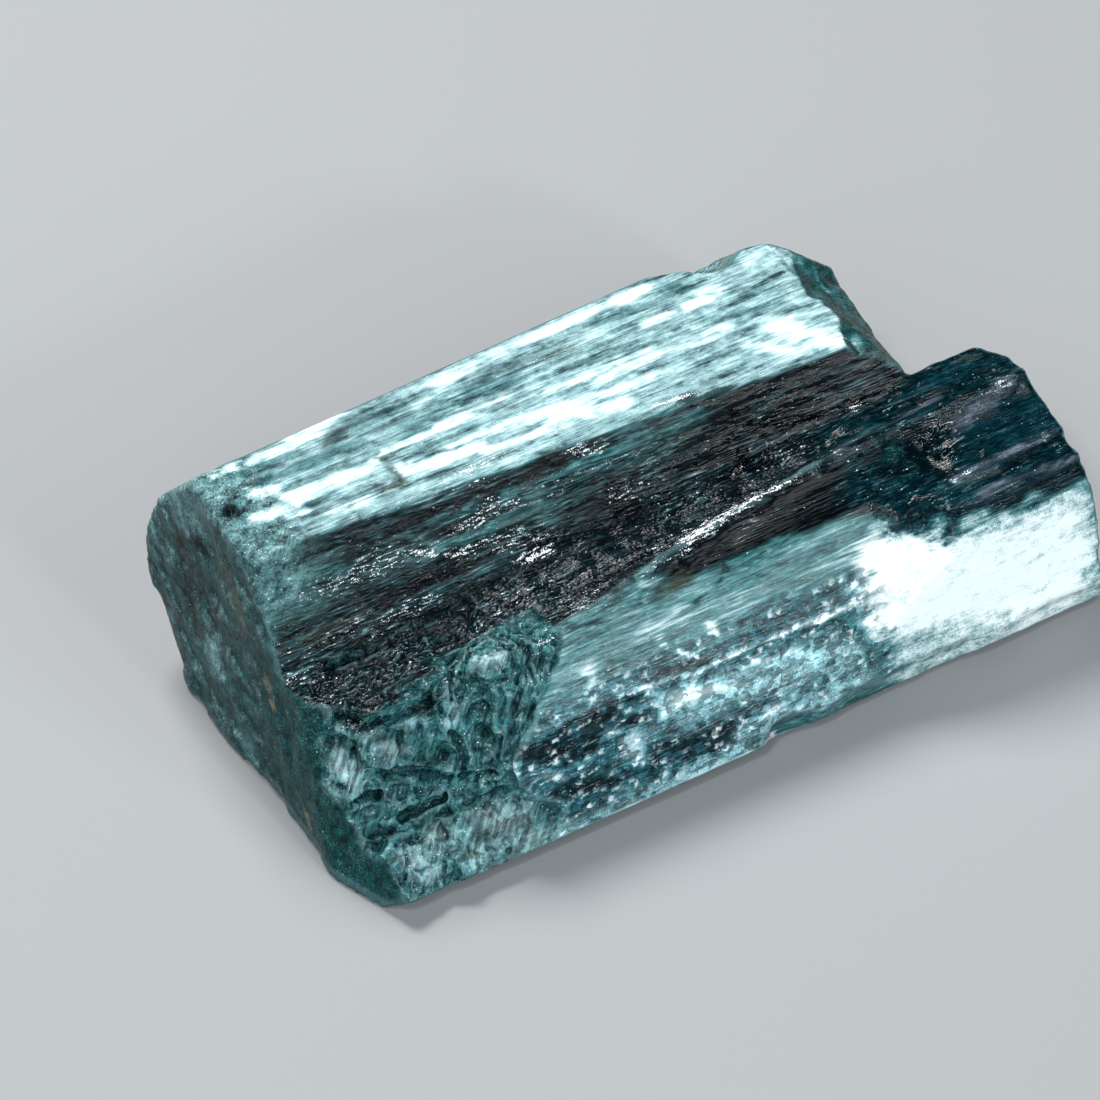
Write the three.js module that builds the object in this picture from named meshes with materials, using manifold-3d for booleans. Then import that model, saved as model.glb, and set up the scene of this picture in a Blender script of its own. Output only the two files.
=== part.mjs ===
// A vanadium beryl crystal: two six-sided prisms grown side by side as one piece, broken off at
// both ends and lying on a prism face. Millimetres, +Z up, +X along the crystal's c axis.
// The front's left shoulder is a conchoidal fracture, and a rough crest runs along the front prism.
import * as THREE from "three";
import Module from "manifold-3d";
import { mergeVertices } from "three/addons/utils/BufferGeometryUtils.js";

// ---- driving dimensions, mm. Outlines are [y, z] in the plane across the c axis. ----
const backHeight = 9.5; // the back prism's top face above the table
const backEndX = 25.4; // where the back prism breaks off
const frontEndX = 29.2; // where the longer front prism breaks off
const overrun = 1.5; // how far a blank runs past its broken end

const backOutline = [
  [0.95, backHeight],
  [-7.2, backHeight],
  [-8.6, 5.0],
  [-6.4, 0],
  [-0.5, 0],
  [1.35, 1.85],
  [2.35, 2.8],
  [2.85, 4.3],
  [2.6, 5.8],
];
const frontMidOutline = [
  [-7.3, 8.6],
  [-4.8, 4.2],
  [-6.6, 0],
  [-12.9, 0],
  [-13.9, 0.8],
  [-12.4, 4.5],
  [-8.5, 8.6],
];
const frontRightOutline = [
  [-7.3, 8.6],
  [-4.8, 4.2],
  [-6.6, 0],
  [-12.8, 0],
  [-13.6, 0.8],
  [-12.95, 5.2],
  [-12.1, 6.55],
  [-11.0, 8.6],
];

// The back prism's front face leans 60 degrees and runs askew, so its top face widens to the right:
// the left end of its upper edge, and its outward normal.
const leanStart = [0, -4.35, backHeight];
const leanNormal = [-0.0639, -0.8643, 0.499];

// The front prism's top along the c axis, as [x, value]. It rises to the right, and a crest divides
// the rough trough behind from the smooth slope that runs down to the brow.
const troughY = -6.9;
const troughHeight = [
  [0, 5.4],
  [4, 5.9],
  [9, 6.6],
  [14, 7.05],
  [19, 7.4],
  [24.6, 8.0],
  [30, 8.1],
];
const crestY = [
  [7.5, -11.0],
  [8.4, -10.8],
  [10.5, -10.05],
  [15, -9.28],
  [21, -8.6],
  [26.5, -8.85],
];
const crestHeight = [
  [7.5, 6.75],
  [15, 7.15],
  [21, 7.5],
  [26.5, 7.85],
];
const browY = [
  [7.5, -11.5],
  [8.8, -11.1],
  [12, -10.4],
  [16, -10.0],
  [21.2, -10.6],
  [24, -12.15],
  [30, -12.15],
];
const browHeight = 6.5;
const browStep = [21.2, -10.6, browHeight]; // where the brow starts to step out

// Columns that stand proud of the front prism's top near its right end.
const topRibs = [
  { at: [26.1, -9.85, 6.95], normal: [0, -0.3, 1], length: 3.6, width: 0.75, depth: 0.3 },
  { at: [25.8, -11.2, 6.75], normal: [0, -0.3, 1], length: 6.6, width: 0.8, depth: 0.3 },
  { at: [26.3, -12.1, 6.5], normal: [0, -0.6, 1], length: 7.6, width: 0.8, depth: 0.22 },
  { at: [22.3, -9.9, 6.85], normal: [0, -0.3, 1], length: 3.4, width: 0.4, depth: 0.22 },
  { at: [25.4, -7.7, 7.8], normal: [0, 0, 1], length: 6.0, width: 0.6, depth: 0.2 },
];

// The shoulder fracture: [run, rise] down the slope, at the left end and where it meets sound faces,
// then how far it reaches along x at each run.
const slopeTop = [-6.5, 8.0];
const slopeProfile = [
  [-1, -0.6],
  [0, -0.4],
  [1.6, 0.15],
  [2.8, 0.7],
  [4.4, 0.6],
  [6.1, -0.42],
  [7.3, -0.85],
  [8.4, -0.2],
  [10.3, 0.1],
  [12, 0.1],
];
const soundProfile = [
  [-1, -0.6],
  [1.0, -0.3],
  [4.0, 2.1],
  [6.6, 1.7],
  [10.3, 0.4],
  [12, 0.4],
];
const fractureReach = [
  [0, 8.6],
  [3.5, 8.8],
  [4.5, 8.6],
  [5.0, 8.0],
  [5.9, 7.1],
  [6.5, 6.3],
  [7.1, 5.6],
  [8.1, 5.6],
  [8.8, 6.6],
  [9.3, 7.2],
  [10, 6.8],
  [12, 5.2],
];

// How deep the chip in the back prism's rear edge bites, as [x, depth].
const rearChipDepth = [
  [19.2, 0],
  [20.2, 0.3],
  [21.0, 0.72],
  [21.7, 0.78],
  [22.4, 0.42],
  [23.3, 0.5],
  [24.4, 0.8],
];

// How deep the long chip along the front prism's lower edge bites, as [x, depth].
const chipDepth = [
  [14.8, 0],
  [15.5, 0.62],
  [16.5, 0.55],
  [17.4, 0.25],
  [18.6, 0.5],
  [23, 0.58],
  [24.5, 0.28],
  [27, 0.5],
  [30, 0.4],
];

const wasm = await Module();
wasm.setup();

// ---- helpers ----

// A repeatable sequence of numbers from 0 to 1.
function sequence(seed) {
  let state = seed >>> 0;
  return () => {
    state = (Math.imul(state, 1664525) + 1013904223) >>> 0;
    return state / 4294967296;
  };
}

// Smooth value noise in the plane, from -1 to 1.
function noise(x, y, seed = 0) {
  const corner = (i, j) => {
    const s = Math.sin(i * 127.1 + j * 311.7 + seed * 74.7) * 43758.5453;
    return 2 * (s - Math.floor(s)) - 1;
  };
  const [i, j] = [Math.floor(x), Math.floor(y)];
  const [u, v] = [smooth(x - i), smooth(y - j)];
  const near = THREE.MathUtils.lerp(corner(i, j), corner(i + 1, j), u);
  const far = THREE.MathUtils.lerp(corner(i, j + 1), corner(i + 1, j + 1), u);
  return THREE.MathUtils.lerp(near, far, v);
}

function smooth(t) {
  return t * t * (3 - 2 * t);
}

// The value at t of a line through [t, value] points.
function along(points, t) {
  const last = points.length - 1;
  if (t <= points[0][0]) return points[0][1];
  if (t >= points[last][0]) return points[last][1];
  const i = points.findIndex((p) => p[0] > t) - 1;
  const [[t0, v0], [t1, v1]] = [points[i], points[i + 1]];
  return v0 + ((v1 - v0) * (t - t0)) / (t1 - t0);
}

function toSolid(geometry) {
  const bare = new THREE.BufferGeometry();
  bare.setAttribute("position", geometry.getAttribute("position"));
  bare.setIndex(geometry.index);
  const merged = mergeVertices(bare, 1e-4);
  const mesh = new wasm.Mesh({
    numProp: 3,
    vertProperties: merged.attributes.position.array,
    triVerts: new Uint32Array(merged.index.array),
  });
  return new wasm.Manifold(mesh);
}

function toGeometry(solid) {
  const mesh = solid.getMesh();
  const position = new Float32Array(mesh.numVert * 3);
  for (let i = 0; i < mesh.numVert; i++) {
    position.set(mesh.vertProperties.subarray(i * mesh.numProp, i * mesh.numProp + 3), i * 3);
  }
  const geometry = new THREE.BufferGeometry();
  geometry.setAttribute("position", new THREE.BufferAttribute(position, 3));
  geometry.setIndex(new THREE.BufferAttribute(mesh.triVerts, 1));
  return geometry;
}

// A prism with a [y, z] outline, from x0 to x1.
function prism(outline, x0, x1) {
  const shape = new THREE.Shape(outline.map(([y, z]) => new THREE.Vector2(y, z)));
  const geometry = new THREE.ExtrudeGeometry(shape, { depth: x1 - x0, bevelEnabled: false });
  const basis = new THREE.Matrix4().makeBasis(
    new THREE.Vector3(0, 1, 0),
    new THREE.Vector3(0, 0, 1),
    new THREE.Vector3(1, 0, 0),
  );
  geometry.applyMatrix4(basis.setPosition(x0, 0, 0));
  return toSolid(geometry);
}

// What lies outside a broken surface: a slab on the plane through origin with the outward normal,
// u and v across it, whose underside is raised by relief(u, v). Subtracting it leaves that surface.
// drift(u) slides the slab's cells along v, so that their rows follow a line on the surface.
function outside({ origin, normal, across, size, cells, thickness = 8, relief = () => 0, drift }) {
  const out = new THREE.Vector3(...normal).normalize();
  const uAxis = new THREE.Vector3(...across);
  uAxis.addScaledVector(out, -uAxis.dot(out)).normalize();
  const vAxis = new THREE.Vector3().crossVectors(out, uAxis);
  const geometry = new THREE.BoxGeometry(size[0], size[1], thickness, cells[0], cells[1], 1);
  geometry.translate(0, 0, thickness / 2);
  const position = geometry.attributes.position;
  for (let i = 0; i < position.count; i++) {
    if (drift) position.setY(i, position.getY(i) + drift(position.getX(i)));
    if (position.getZ(i) > 1e-6) continue;
    position.setZ(i, relief(position.getX(i), position.getY(i)));
  }
  geometry.applyMatrix4(new THREE.Matrix4().makeBasis(uAxis, vAxis, out).setPosition(...origin));
  return toSolid(geometry);
}

// ---- the two prisms ----

function backPrism() {
  const lean = outside({
    origin: leanStart,
    normal: leanNormal,
    across: [1, 0, 0],
    size: [90, 40],
    cells: [1, 1],
  });
  const rearBevel = outside({
    origin: [0, 0, backHeight],
    normal: [-0.026, 0.753, 0.657],
    across: [1, 0, 0],
    size: [90, 10],
    cells: [1, 1],
  });
  const brokenEnd = outside({
    origin: [backEndX, -3.5, 7.5],
    normal: [1, -0.19, 0.1],
    across: [0, 1, 0],
    size: [20, 18],
    cells: [26, 24],
    relief: (u, v) => 0.28 * noise(u * 0.55, v * 0.55, 3) + 0.1 * noise(u * 1.9, v * 1.9, 4),
  });
  const endBevel = outside({
    origin: [23.45, -3, backHeight],
    normal: [0.55, -0.05, 0.83],
    across: [0, 1, 0],
    size: [16, 8],
    cells: [24, 14],
    relief: (u, v) => 0.16 * noise(u * 0.9, v * 0.9, 5) + 0.08 * noise(u * 2.6, v * 2.6, 6),
  });
  const rearChip = outside({
    origin: [22.5, 0.7, backHeight],
    normal: [-0.026, 0.753, 0.657],
    across: [1, 0, 0],
    size: [6.8, 8],
    cells: [24, 16],
    thickness: 4,
    relief: (u, v) => {
      const fade = 1 - smooth(THREE.MathUtils.clamp((v - 1.5) / 2, 0, 1));
      const chipped = 0.08 * noise(u * 1.7, v * 1.7, 7) - along(rearChipDepth, 22.5 + u);
      return THREE.MathUtils.lerp(0.3, chipped, fade);
    },
  });
  const rearCorner = outside({
    origin: [24.0, -0.1, 9.0],
    normal: [0.62, 0.55, 0.55],
    across: [1, -1, 0],
    size: [14, 18],
    cells: [20, 25],
    relief: (u, v) => 0.14 * noise(u * 0.9, v * 0.9, 8),
  });
  return prism(backOutline, -overrun, backEndX + overrun)
    .subtract(lean)
    .subtract(rearBevel)
    .subtract(brokenEnd)
    .subtract(endBevel)
    .subtract(rearCorner)
    .subtract(rearChip);
}

// Height of the front prism's top over the table at a place on it.
function frontTop(x, y) {
  const crest = along(crestY, x);
  const height = along(crestHeight, x);
  const right = smooth(THREE.MathUtils.clamp((x - 21.5) / 2, 0, 1));
  const ridge = 0.2 * Math.exp(-(((y - crest) / 0.35) ** 2));
  const grain = 0.1 * noise(x * 1.1, y * 1.9, 11) + 0.07 * noise(x * 2.7, y * 3.1, 12);
  if (y > crest) {
    const back = THREE.MathUtils.clamp((y - crest) / (troughY - crest), 0, 1.3);
    const trough = 0.3 * Math.sin(Math.PI * Math.min(back, 1));
    return THREE.MathUtils.lerp(height, along(troughHeight, x), back) - trough + ridge + grain;
  }
  const front = (crest - y) / (crest - along(browY, x));
  const hollow = 0.45 * Math.exp(-(((x - 24) / 0.7) ** 2) - ((y + 9.6) / 0.8) ** 2);
  const slope = Math.pow(Math.min(front, 1), THREE.MathUtils.lerp(1, 0.5, right));
  const past = 0.5 * Math.max(0, front - 1);
  const rough = grain * Math.max(0.8 * right, 1 - 3 * front);
  return THREE.MathUtils.lerp(height, browHeight, slope) - past - hollow + ridge + rough;
}

function frontPrism() {
  const mid = prism(frontMidOutline, -overrun, frontEndX + overrun);
  const stepFace = outside({
    origin: browStep,
    normal: [-0.36, -0.68, 0.64],
    across: [1, -0.5, 0],
    size: [24, 20],
    cells: [28, 24],
    relief: (u, v) => 0.12 * noise(u * 0.9, v * 0.9, 15),
  });
  const right = prism(frontRightOutline, browStep[0] - 2.6, frontEndX + overrun).subtract(stepFace);
  const top = outside({
    origin: [14.5, 0, browHeight],
    normal: [0, 0, 1],
    across: [1, 0, 0],
    size: [33, 9.6],
    cells: [66, 32],
    thickness: 5,
    drift: (u) => along(crestY, 14.5 + u),
    relief: (u, v) => frontTop(14.5 + u, v) - browHeight,
  });
  const brokenEnd = outside({
    origin: [frontEndX, -9.5, 4],
    normal: [1, -0.03, 0.1],
    across: [0, 1, 0],
    size: [22, 16],
    cells: [26, 19],
    relief: (u, v) => 0.26 * noise(u * 0.5, v * 0.5, 21) + 0.1 * noise(u * 1.6, v * 1.6, 22),
  });
  const endCorner = outside({
    origin: [28.1, -7.3, 8.0],
    normal: [0.6, 0.45, 0.6],
    across: [1, -1, 0],
    size: [10, 6],
    cells: [14, 8],
    relief: (u, v) => 0.12 * noise(u, v, 23),
  });
  return mid
    .add(right)
    .subtract(top)
    .add(wasm.Manifold.union(topRibs.map(spindle)))
    .subtract(brokenEnd)
    .subtract(endCorner);
}

// ---- what broke and wore the pair ----

function leftEnd() {
  const face = outside({
    origin: [-0.22, -6, 4.5],
    normal: [-1, -0.01, 0.06],
    across: [0, 1, 0],
    size: [24, 16],
    cells: [36, 24],
    relief: (u, v) => 0.2 * noise(u * 0.42, v * 0.42, 31) + 0.09 * noise(u * 1.5, v * 1.5, 32),
  });
  const upperRim = outside({
    origin: [0.28, -4.4, backHeight - 0.4],
    normal: [-0.82, -0.42, 0.4],
    across: [0, -1, -1],
    size: [16, 8],
    cells: [24, 12],
    relief: (u, v) => 0.1 * noise(u * 0.9, v * 0.9, 33),
  });
  const lowerRim = outside({
    origin: [0.3, -10.6, 3.4],
    normal: [-0.93, -0.3, 0.25],
    across: [0, -1, -1],
    size: [16, 10],
    cells: [24, 16],
    relief: (u, v) => 0.12 * noise(u * 0.8, v * 0.8, 34),
  });
  const corner = outside({
    origin: [0.65, -14.03, 0.56],
    normal: [-0.5, -0.8, -0.3],
    across: [1, -0.6, 0],
    size: [10, 8],
    cells: [14, 10],
    relief: (u, v) => 0.08 * noise(u, v, 35),
  });
  return face.add(upperRim).add(lowerRim).add(corner);
}

// The conchoidal shoulder: flutes run down the slope, and rings spread from a knob near its top.
function shoulderFracture() {
  const length = 11;
  const run = 12;
  const knob = [6.1, 3.2];
  const relief = (u, v) => {
    const x = u + length / 2 - 1;
    const slope = run / 2 - 1 - v; // distance down the slope from slopeTop
    const broken = along(slopeProfile, slope);
    const sound = along(soundProfile, slope);
    const share = Math.max(0, x / along(fractureReach, slope));
    const base = broken + (sound - broken + 0.25) * Math.pow(share, 2.4);
    const lower = smooth(THREE.MathUtils.clamp((slope - 2.2) / 2.2, 0, 1));
    const bend = x * 3.1 + 0.45 * slope + 0.9 * noise(x * 0.5, slope * 0.5, 41);
    const flutes = 0.2 * lower * Math.sin(bend) * (0.55 + 0.45 * noise(x * 0.7, slope * 0.4, 42));
    const away = Math.hypot(x - knob[0], slope - knob[1]);
    const boss = 0.55 * Math.exp(-((away / 0.95) ** 2));
    const rings = 0.07 * Math.sin(away * 7) * Math.exp(-((away / 1.7) ** 2));
    const grain = 0.07 * noise(x * 2.1, slope * 2.1, 43);
    return base + flutes + boss + rings + grain;
  };
  const halfway = (run / 2 - 1) * Math.SQRT1_2;
  return outside({
    origin: [length / 2 - 1, slopeTop[0] - halfway, slopeTop[1] - halfway],
    normal: [0, -1, 1],
    across: [1, 0, 0],
    size: [length, run],
    cells: [46, 50],
    thickness: 6,
    relief,
  });
}

// A long shallow chip that took the front prism's lower edge.
function edgeChip() {
  const middle = 22.8;
  return outside({
    origin: [middle, -13.9, 1.1],
    normal: [0, -1, 0.06],
    across: [1, 0, 0],
    size: [16, 3.6],
    cells: [44, 10],
    thickness: 4,
    relief: (u, v) => {
      const upper = smooth(THREE.MathUtils.clamp((v + 0.2) / 1.7, 0, 1));
      const depth = THREE.MathUtils.lerp(along(chipDepth, middle + u), -0.5, upper);
      return 0.05 * noise(u * 1.3, v * 1.3, 51) - depth;
    },
  });
}

// ---- growth lines: long tapered grooves and ribs along the c axis ----

// An octahedron drawn out along x, lying on a face with the given outward normal.
function spindle({ at, normal, length, width, depth, skew = 0 }) {
  const out = new THREE.Vector3(...normal).normalize();
  const run = new THREE.Vector3(1, 0, 0).addScaledVector(out, -out.x).normalize();
  run.applyAxisAngle(out, skew);
  const side = new THREE.Vector3().crossVectors(out, run);
  const geometry = new THREE.OctahedronGeometry(1);
  geometry.scale(length / 2, width / 2, depth);
  geometry.applyMatrix4(new THREE.Matrix4().makeBasis(run, side, out).setPosition(...at));
  return toSolid(geometry);
}

// The faces that carry growth lines: a line across each face at its left, how far the lines may
// run, the face's outward normal, how many lines it has and how much y drifts per mm of x.
const topFace = { from: [1, -0.4, 9.5], to: [1, -4.0, 9.5], reach: 21, normal: [0, 0, 1], count: 22 };
const leanFace = { from: [0.8, -4.75, 9.1], to: [0.8, -6.2, 6.6], reach: 22, normal: leanNormal };
const upperFace = { from: [11, -10.6, 6.3], to: [11, -12.2, 4.7], reach: 10, normal: [0, -0.72, 0.69] };
const lowerFace = { from: [7, -12.6, 4.0], to: [7, -13.7, 1.2], reach: 14, normal: [0, -0.927, 0.375] };
const rightFace = { from: [22.5, -12.5, 5.9], to: [22.5, -13.5, 1.6], reach: 6, normal: [0, -0.96, 0.2] };
const rearFace = { from: [1, 0.7, 8.6], to: [1, 2.4, 6.1], reach: 22, normal: [-0.026, 0.83, 0.55] };
const rearUnder = { from: [1, 2.4, 2.9], to: [1, -0.2, 0.3], reach: 22, normal: [0, 0.707, -0.707] };
const frontRear = { from: [25.6, -6.6, 7.3], to: [25.6, -5.1, 4.7], reach: 3.2, normal: [0, 0.87, 0.5] };
const linedFaces = [
  topFace,
  { ...leanFace, drift: -0.074, count: 16 },
  { ...upperFace, count: 10 },
  { ...lowerFace, count: 12 },
  { ...rightFace, count: 8 },
  { ...rearFace, count: 12 },
  { ...rearUnder, count: 12 },
  { ...frontRear, count: 4 },
];

function growthLines() {
  const next = sequence(2718);
  const lines = [];
  for (const { from, to, reach, normal, count, drift = 0 } of linedFaces) {
    for (let i = 0; i < count; i++) {
      const across = (i + 0.15 + 0.7 * next()) / count;
      const length = reach * (0.25 + 0.6 * next());
      const middle = length * 0.35 + next() * (reach - length * 0.7);
      const at = from.map((value, k) => value + (to[k] - value) * across);
      at[0] += middle;
      at[1] += drift * middle;
      lines.push({ at, normal, length, width: 0.16 + 0.3 * next(), depth: 0.05 + 0.08 * next() });
    }
  }
  return lines;
}

// Cross cracks and etch pits: short deep grooves, some at an angle to the growth lines.
const scars = [
  { at: [6.9, -3.2, 9.5], normal: [0, 0, 1], length: 1.9, width: 0.22, depth: 0.3, skew: 1.75 },
  { at: [7.4, 0.2, 9.4], normal: [0, 0.5, 0.85], length: 0.9, width: 0.25, depth: 0.25, skew: 1.5 },
  { at: [13.9, -11.2, 5.75], normal: [0, -0.72, 0.69], length: 2.0, width: 0.14, depth: 0.2, skew: -1.1 },
  { at: [2.9, -5.3, 8.2], normal: [0, -0.863, 0.5], length: 1.3, width: 0.42, depth: 0.2 },
  { at: [4.6, -5.2, 8.6], normal: [0, -0.863, 0.5], length: 1.1, width: 0.34, depth: 0.2 },
  { at: [8.0, -6.45, 7.0], normal: leanNormal, length: 8.5, width: 0.3, depth: 0.25 },
  { at: [16.5, -12.55, 4.4], normal: [0, -0.95, 0.5], length: 2.2, width: 0.4, depth: 0.22 },
  { at: [9.0, 1.95, 6.7], normal: [0, 0.83, 0.55], length: 1.4, width: 0.5, depth: 0.3, skew: 0.2 },
  { at: [15.5, 1.2, 1.7], normal: [0, 0.707, -0.707], length: 1.8, width: 0.6, depth: 0.3, skew: 0.15 },
];

// ---- the crystal ----

function beryl() {
  const lines = growthLines();
  const raised = lines.filter((_, i) => i % 3 === 2);
  const sunk = lines.filter((_, i) => i % 3 !== 2).concat(scars);
  return backPrism()
    .add(frontPrism())
    .add(wasm.Manifold.union(raised.map(spindle)))
    .subtract(shoulderFracture())
    .subtract(leftEnd())
    .subtract(edgeChip())
    .subtract(wasm.Manifold.union(sunk.map(spindle)));
}

// The largest piece, without any crumb that the cuts set loose.
function largest(solid) {
  return solid.decompose().sort((a, b) => b.volume() - a.volume())[0];
}

const geometry = toGeometry(largest(beryl()));
geometry.computeBoundingBox();
const middle = geometry.boundingBox.getCenter(new THREE.Vector3());
geometry.translate(-middle.x, -middle.y, -geometry.boundingBox.min.z);

const berylMaterial = new THREE.MeshStandardMaterial({ color: 0x4f9499, roughness: 0.22, metalness: 0 });
const crystal = new THREE.Mesh(geometry, berylMaterial);
crystal.name = "beryl_crystal";

const specimen = new THREE.Group();
specimen.add(crystal);
export default specimen;
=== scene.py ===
import math

import bpy
import numpy as np
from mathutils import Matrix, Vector
from mathutils.kdtree import KDTree


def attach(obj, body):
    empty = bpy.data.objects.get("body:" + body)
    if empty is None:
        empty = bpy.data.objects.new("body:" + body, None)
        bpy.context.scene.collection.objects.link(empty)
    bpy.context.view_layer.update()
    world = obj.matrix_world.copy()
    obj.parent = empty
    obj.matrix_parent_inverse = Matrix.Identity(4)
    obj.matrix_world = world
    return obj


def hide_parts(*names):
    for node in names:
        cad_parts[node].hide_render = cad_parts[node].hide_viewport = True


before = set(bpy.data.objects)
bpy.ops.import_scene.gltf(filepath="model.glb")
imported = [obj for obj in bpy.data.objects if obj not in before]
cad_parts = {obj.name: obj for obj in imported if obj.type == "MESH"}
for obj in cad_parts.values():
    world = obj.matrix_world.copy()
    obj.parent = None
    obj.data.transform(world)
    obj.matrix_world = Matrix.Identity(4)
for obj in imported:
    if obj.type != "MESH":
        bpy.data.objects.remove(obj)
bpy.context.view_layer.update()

print("frame loaded")

# ---- camera ----

cameraSettings = {
    "azimuth": -31, "elevation": 45, "distance": 0.230,
    "target": (-0.004705, -0.002298, 0.007859),
    "lens": 220.55, "sensor": 36,
}


def makeCamera():
    turn, lift = math.radians(cameraSettings["azimuth"]), math.radians(cameraSettings["elevation"])
    away = Vector((math.sin(turn) * math.cos(lift), -math.cos(turn) * math.cos(lift), math.sin(lift)))
    data = bpy.data.cameras.new("camera")
    data.lens, data.sensor_width = cameraSettings["lens"], cameraSettings["sensor"]
    data.clip_start, data.clip_end = 0.005, 10
    camera = bpy.data.objects.new("camera", data)
    bpy.context.scene.collection.objects.link(camera)
    camera.location = Vector(cameraSettings["target"]) + away * cameraSettings["distance"]
    camera.rotation_euler = away.to_track_quat("Z", "Y").to_euler()
    bpy.context.scene.camera = camera


makeCamera()

# ---- small helpers ----


# A colour on a 0-255 screen scale, as linear light.
def paint(red, green, blue):
    shares = (c / 255 for c in (red, green, blue))
    return tuple(((c + 0.055) / 1.055) ** 2.4 if c > 0.0405 else c / 12.92 for c in shares) + (1,)


# A soft step from 0 at low to 1 at high.
def ease(value, low, high):
    t = np.clip((value - low) / (high - low), 0, 1)
    return t * t * (3 - 2 * t)


# The value at x of a line through (x, value) points.
def along(points, x):
    return np.interp(x, [p[0] for p in points], [p[1] for p in points])


# Smooth noise from -1 to 1 at many places at once.
def grain(places, size, seed=0):
    p = places / np.array(size, float)
    cell = np.floor(p).astype(np.int64)
    f = p - cell
    f = f * f * f * (f * (f * 6 - 15) + 10)
    total = np.zeros(len(p))
    for corner in range(8):
        step = np.array([corner & 1, corner >> 1 & 1, corner >> 2 & 1])
        c = cell + step
        mixed = (c[:, 0] * 73856093) ^ (c[:, 1] * 19349663) ^ (c[:, 2] * 83492791) ^ (seed * 2654435761)
        mixed = (mixed ^ (mixed >> 13)) * 1274126177 & 0xffffffff
        mixed = (mixed ^ (mixed >> 16)) * 2246822519 & 0xffffffff
        value = ((mixed >> 8) & 0xffff) / 32767.5 - 1
        total += value * np.prod(np.where(step, f, 1 - f), axis=1)
    return total


def pickOnly(thing):
    bpy.ops.object.select_all(action="DESELECT")
    thing.select_set(True)
    bpy.context.view_layer.objects.active = thing


# ---- the crystal's shape ----
# The crystal is worked on in millimetres from the corner where its own measures start:
# x runs along the c axis, y towards the back, z up. It goes back to metres in the frame at the end.

shapeSettings = {
    "corner": (14.538, -5.525, 0.0),  # from the frame's origin to that corner, mm
    "voxel": 0.13,
    "triangles": 190000,
    "backEdge": (0, -4.35, 9.5),  # a point on the lean face of the back prism
    "backLean": (-0.0639, -0.8643, 0.499),
    "browLine": (0, -12.4, 4.5),  # the ridge line between the front prism's two front faces
    "upperFront": (0, -0.7071, 0.7071),
    "lowerFront": (0, -0.927, 0.375),
    "crest": [(7.5, -11), (8.4, -10.8), (10.5, -10.05), (15, -9.28), (21, -8.6), (26.5, -8.85)],
    "brow": [
        (7.5, -11.5), (8.8, -11.1), (12, -10.4), (16, -10), (21.2, -10.6), (24, -12.15), (30, -12.15),
    ],
    "slopeTop": (-6.5, 8.0),  # y and z where the broken shoulder's slope begins
    # the shoulder's borders: how far down the slope, then the place along x
    "leftBorder": [
        (0, 0.7), (2, 0.6), (2.8, 0.75), (4.3, 0.25), (5.7, -0.15),
        (6.5, 0), (8, 0.15), (9.3, 0.45), (11, 1.2),
    ],
    "rightBorder": [
        (0, 8.6), (3.5, 8.8), (4.5, 8.35), (5, 7.7), (5.9, 6.8), (6.5, 6),
        (7.1, 5.35), (8.1, 5.4), (8.8, 6.3), (9.3, 7), (10, 6.6), (12, 5.0),
    ],
    "knob": (6.1, -9.6, 6.65),
    "knobRise": 0.3,
    "edgeRounds": 14,  # how long the sharp edges are rubbed
    "inset": 0.004,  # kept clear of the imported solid's reach
}


def copyCrystal():
    bpy.ops.object.select_all(action="DESELECT")
    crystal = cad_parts["beryl_crystal"].copy()
    crystal.data = crystal.data.copy()
    for key in list(crystal.keys()):
        del crystal[key]
    crystal.parent = None
    crystal.name = crystal.data.name = "crystal"
    bpy.context.scene.collection.objects.link(crystal)
    crystal.data.materials.clear()
    pickOnly(crystal)
    where = readPlaces(crystal) * 1000 + np.array(shapeSettings["corner"])
    writePlaces(crystal, where)
    bpy.ops.object.mode_set(mode="EDIT")
    bpy.ops.mesh.select_all(action="SELECT")
    bpy.ops.mesh.remove_doubles(threshold=0.0005)
    bpy.ops.object.mode_set(mode="OBJECT")
    return crystal


def readPlaces(thing):
    where = np.zeros(len(thing.data.vertices) * 3)
    thing.data.vertices.foreach_get("co", where)
    return where.reshape(-1, 3)


def readNormals(thing):
    facing = np.zeros(len(thing.data.vertices) * 3)
    thing.data.vertices.foreach_get("normal", facing)
    return facing.reshape(-1, 3)


def writePlaces(thing, where):
    thing.data.vertices.foreach_set("co", np.asarray(where, float).ravel())
    thing.data.update()


def applyModifier(thing, kind, **settings):
    modifier = thing.modifiers.new(kind.lower(), kind)
    for name, value in settings.items():
        setattr(modifier, name, value)
    pickOnly(thing)
    bpy.ops.object.modifier_apply(modifier=modifier.name)


def writeGroup(thing, name, weights):
    group = thing.vertex_groups.get(name) or thing.vertex_groups.new(name=name)
    levels = np.round(np.clip(weights, 0, 1) * 32).astype(int)
    for level in np.unique(levels):
        if level:
            group.add([int(i) for i in np.nonzero(levels == level)[0]], level / 32, "REPLACE")


# How far down the shoulder's slope a place is.
def downSlope(y, z):
    top = shapeSettings["slopeTop"]
    return (top[0] - y + top[1] - z) / math.sqrt(2)


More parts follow.
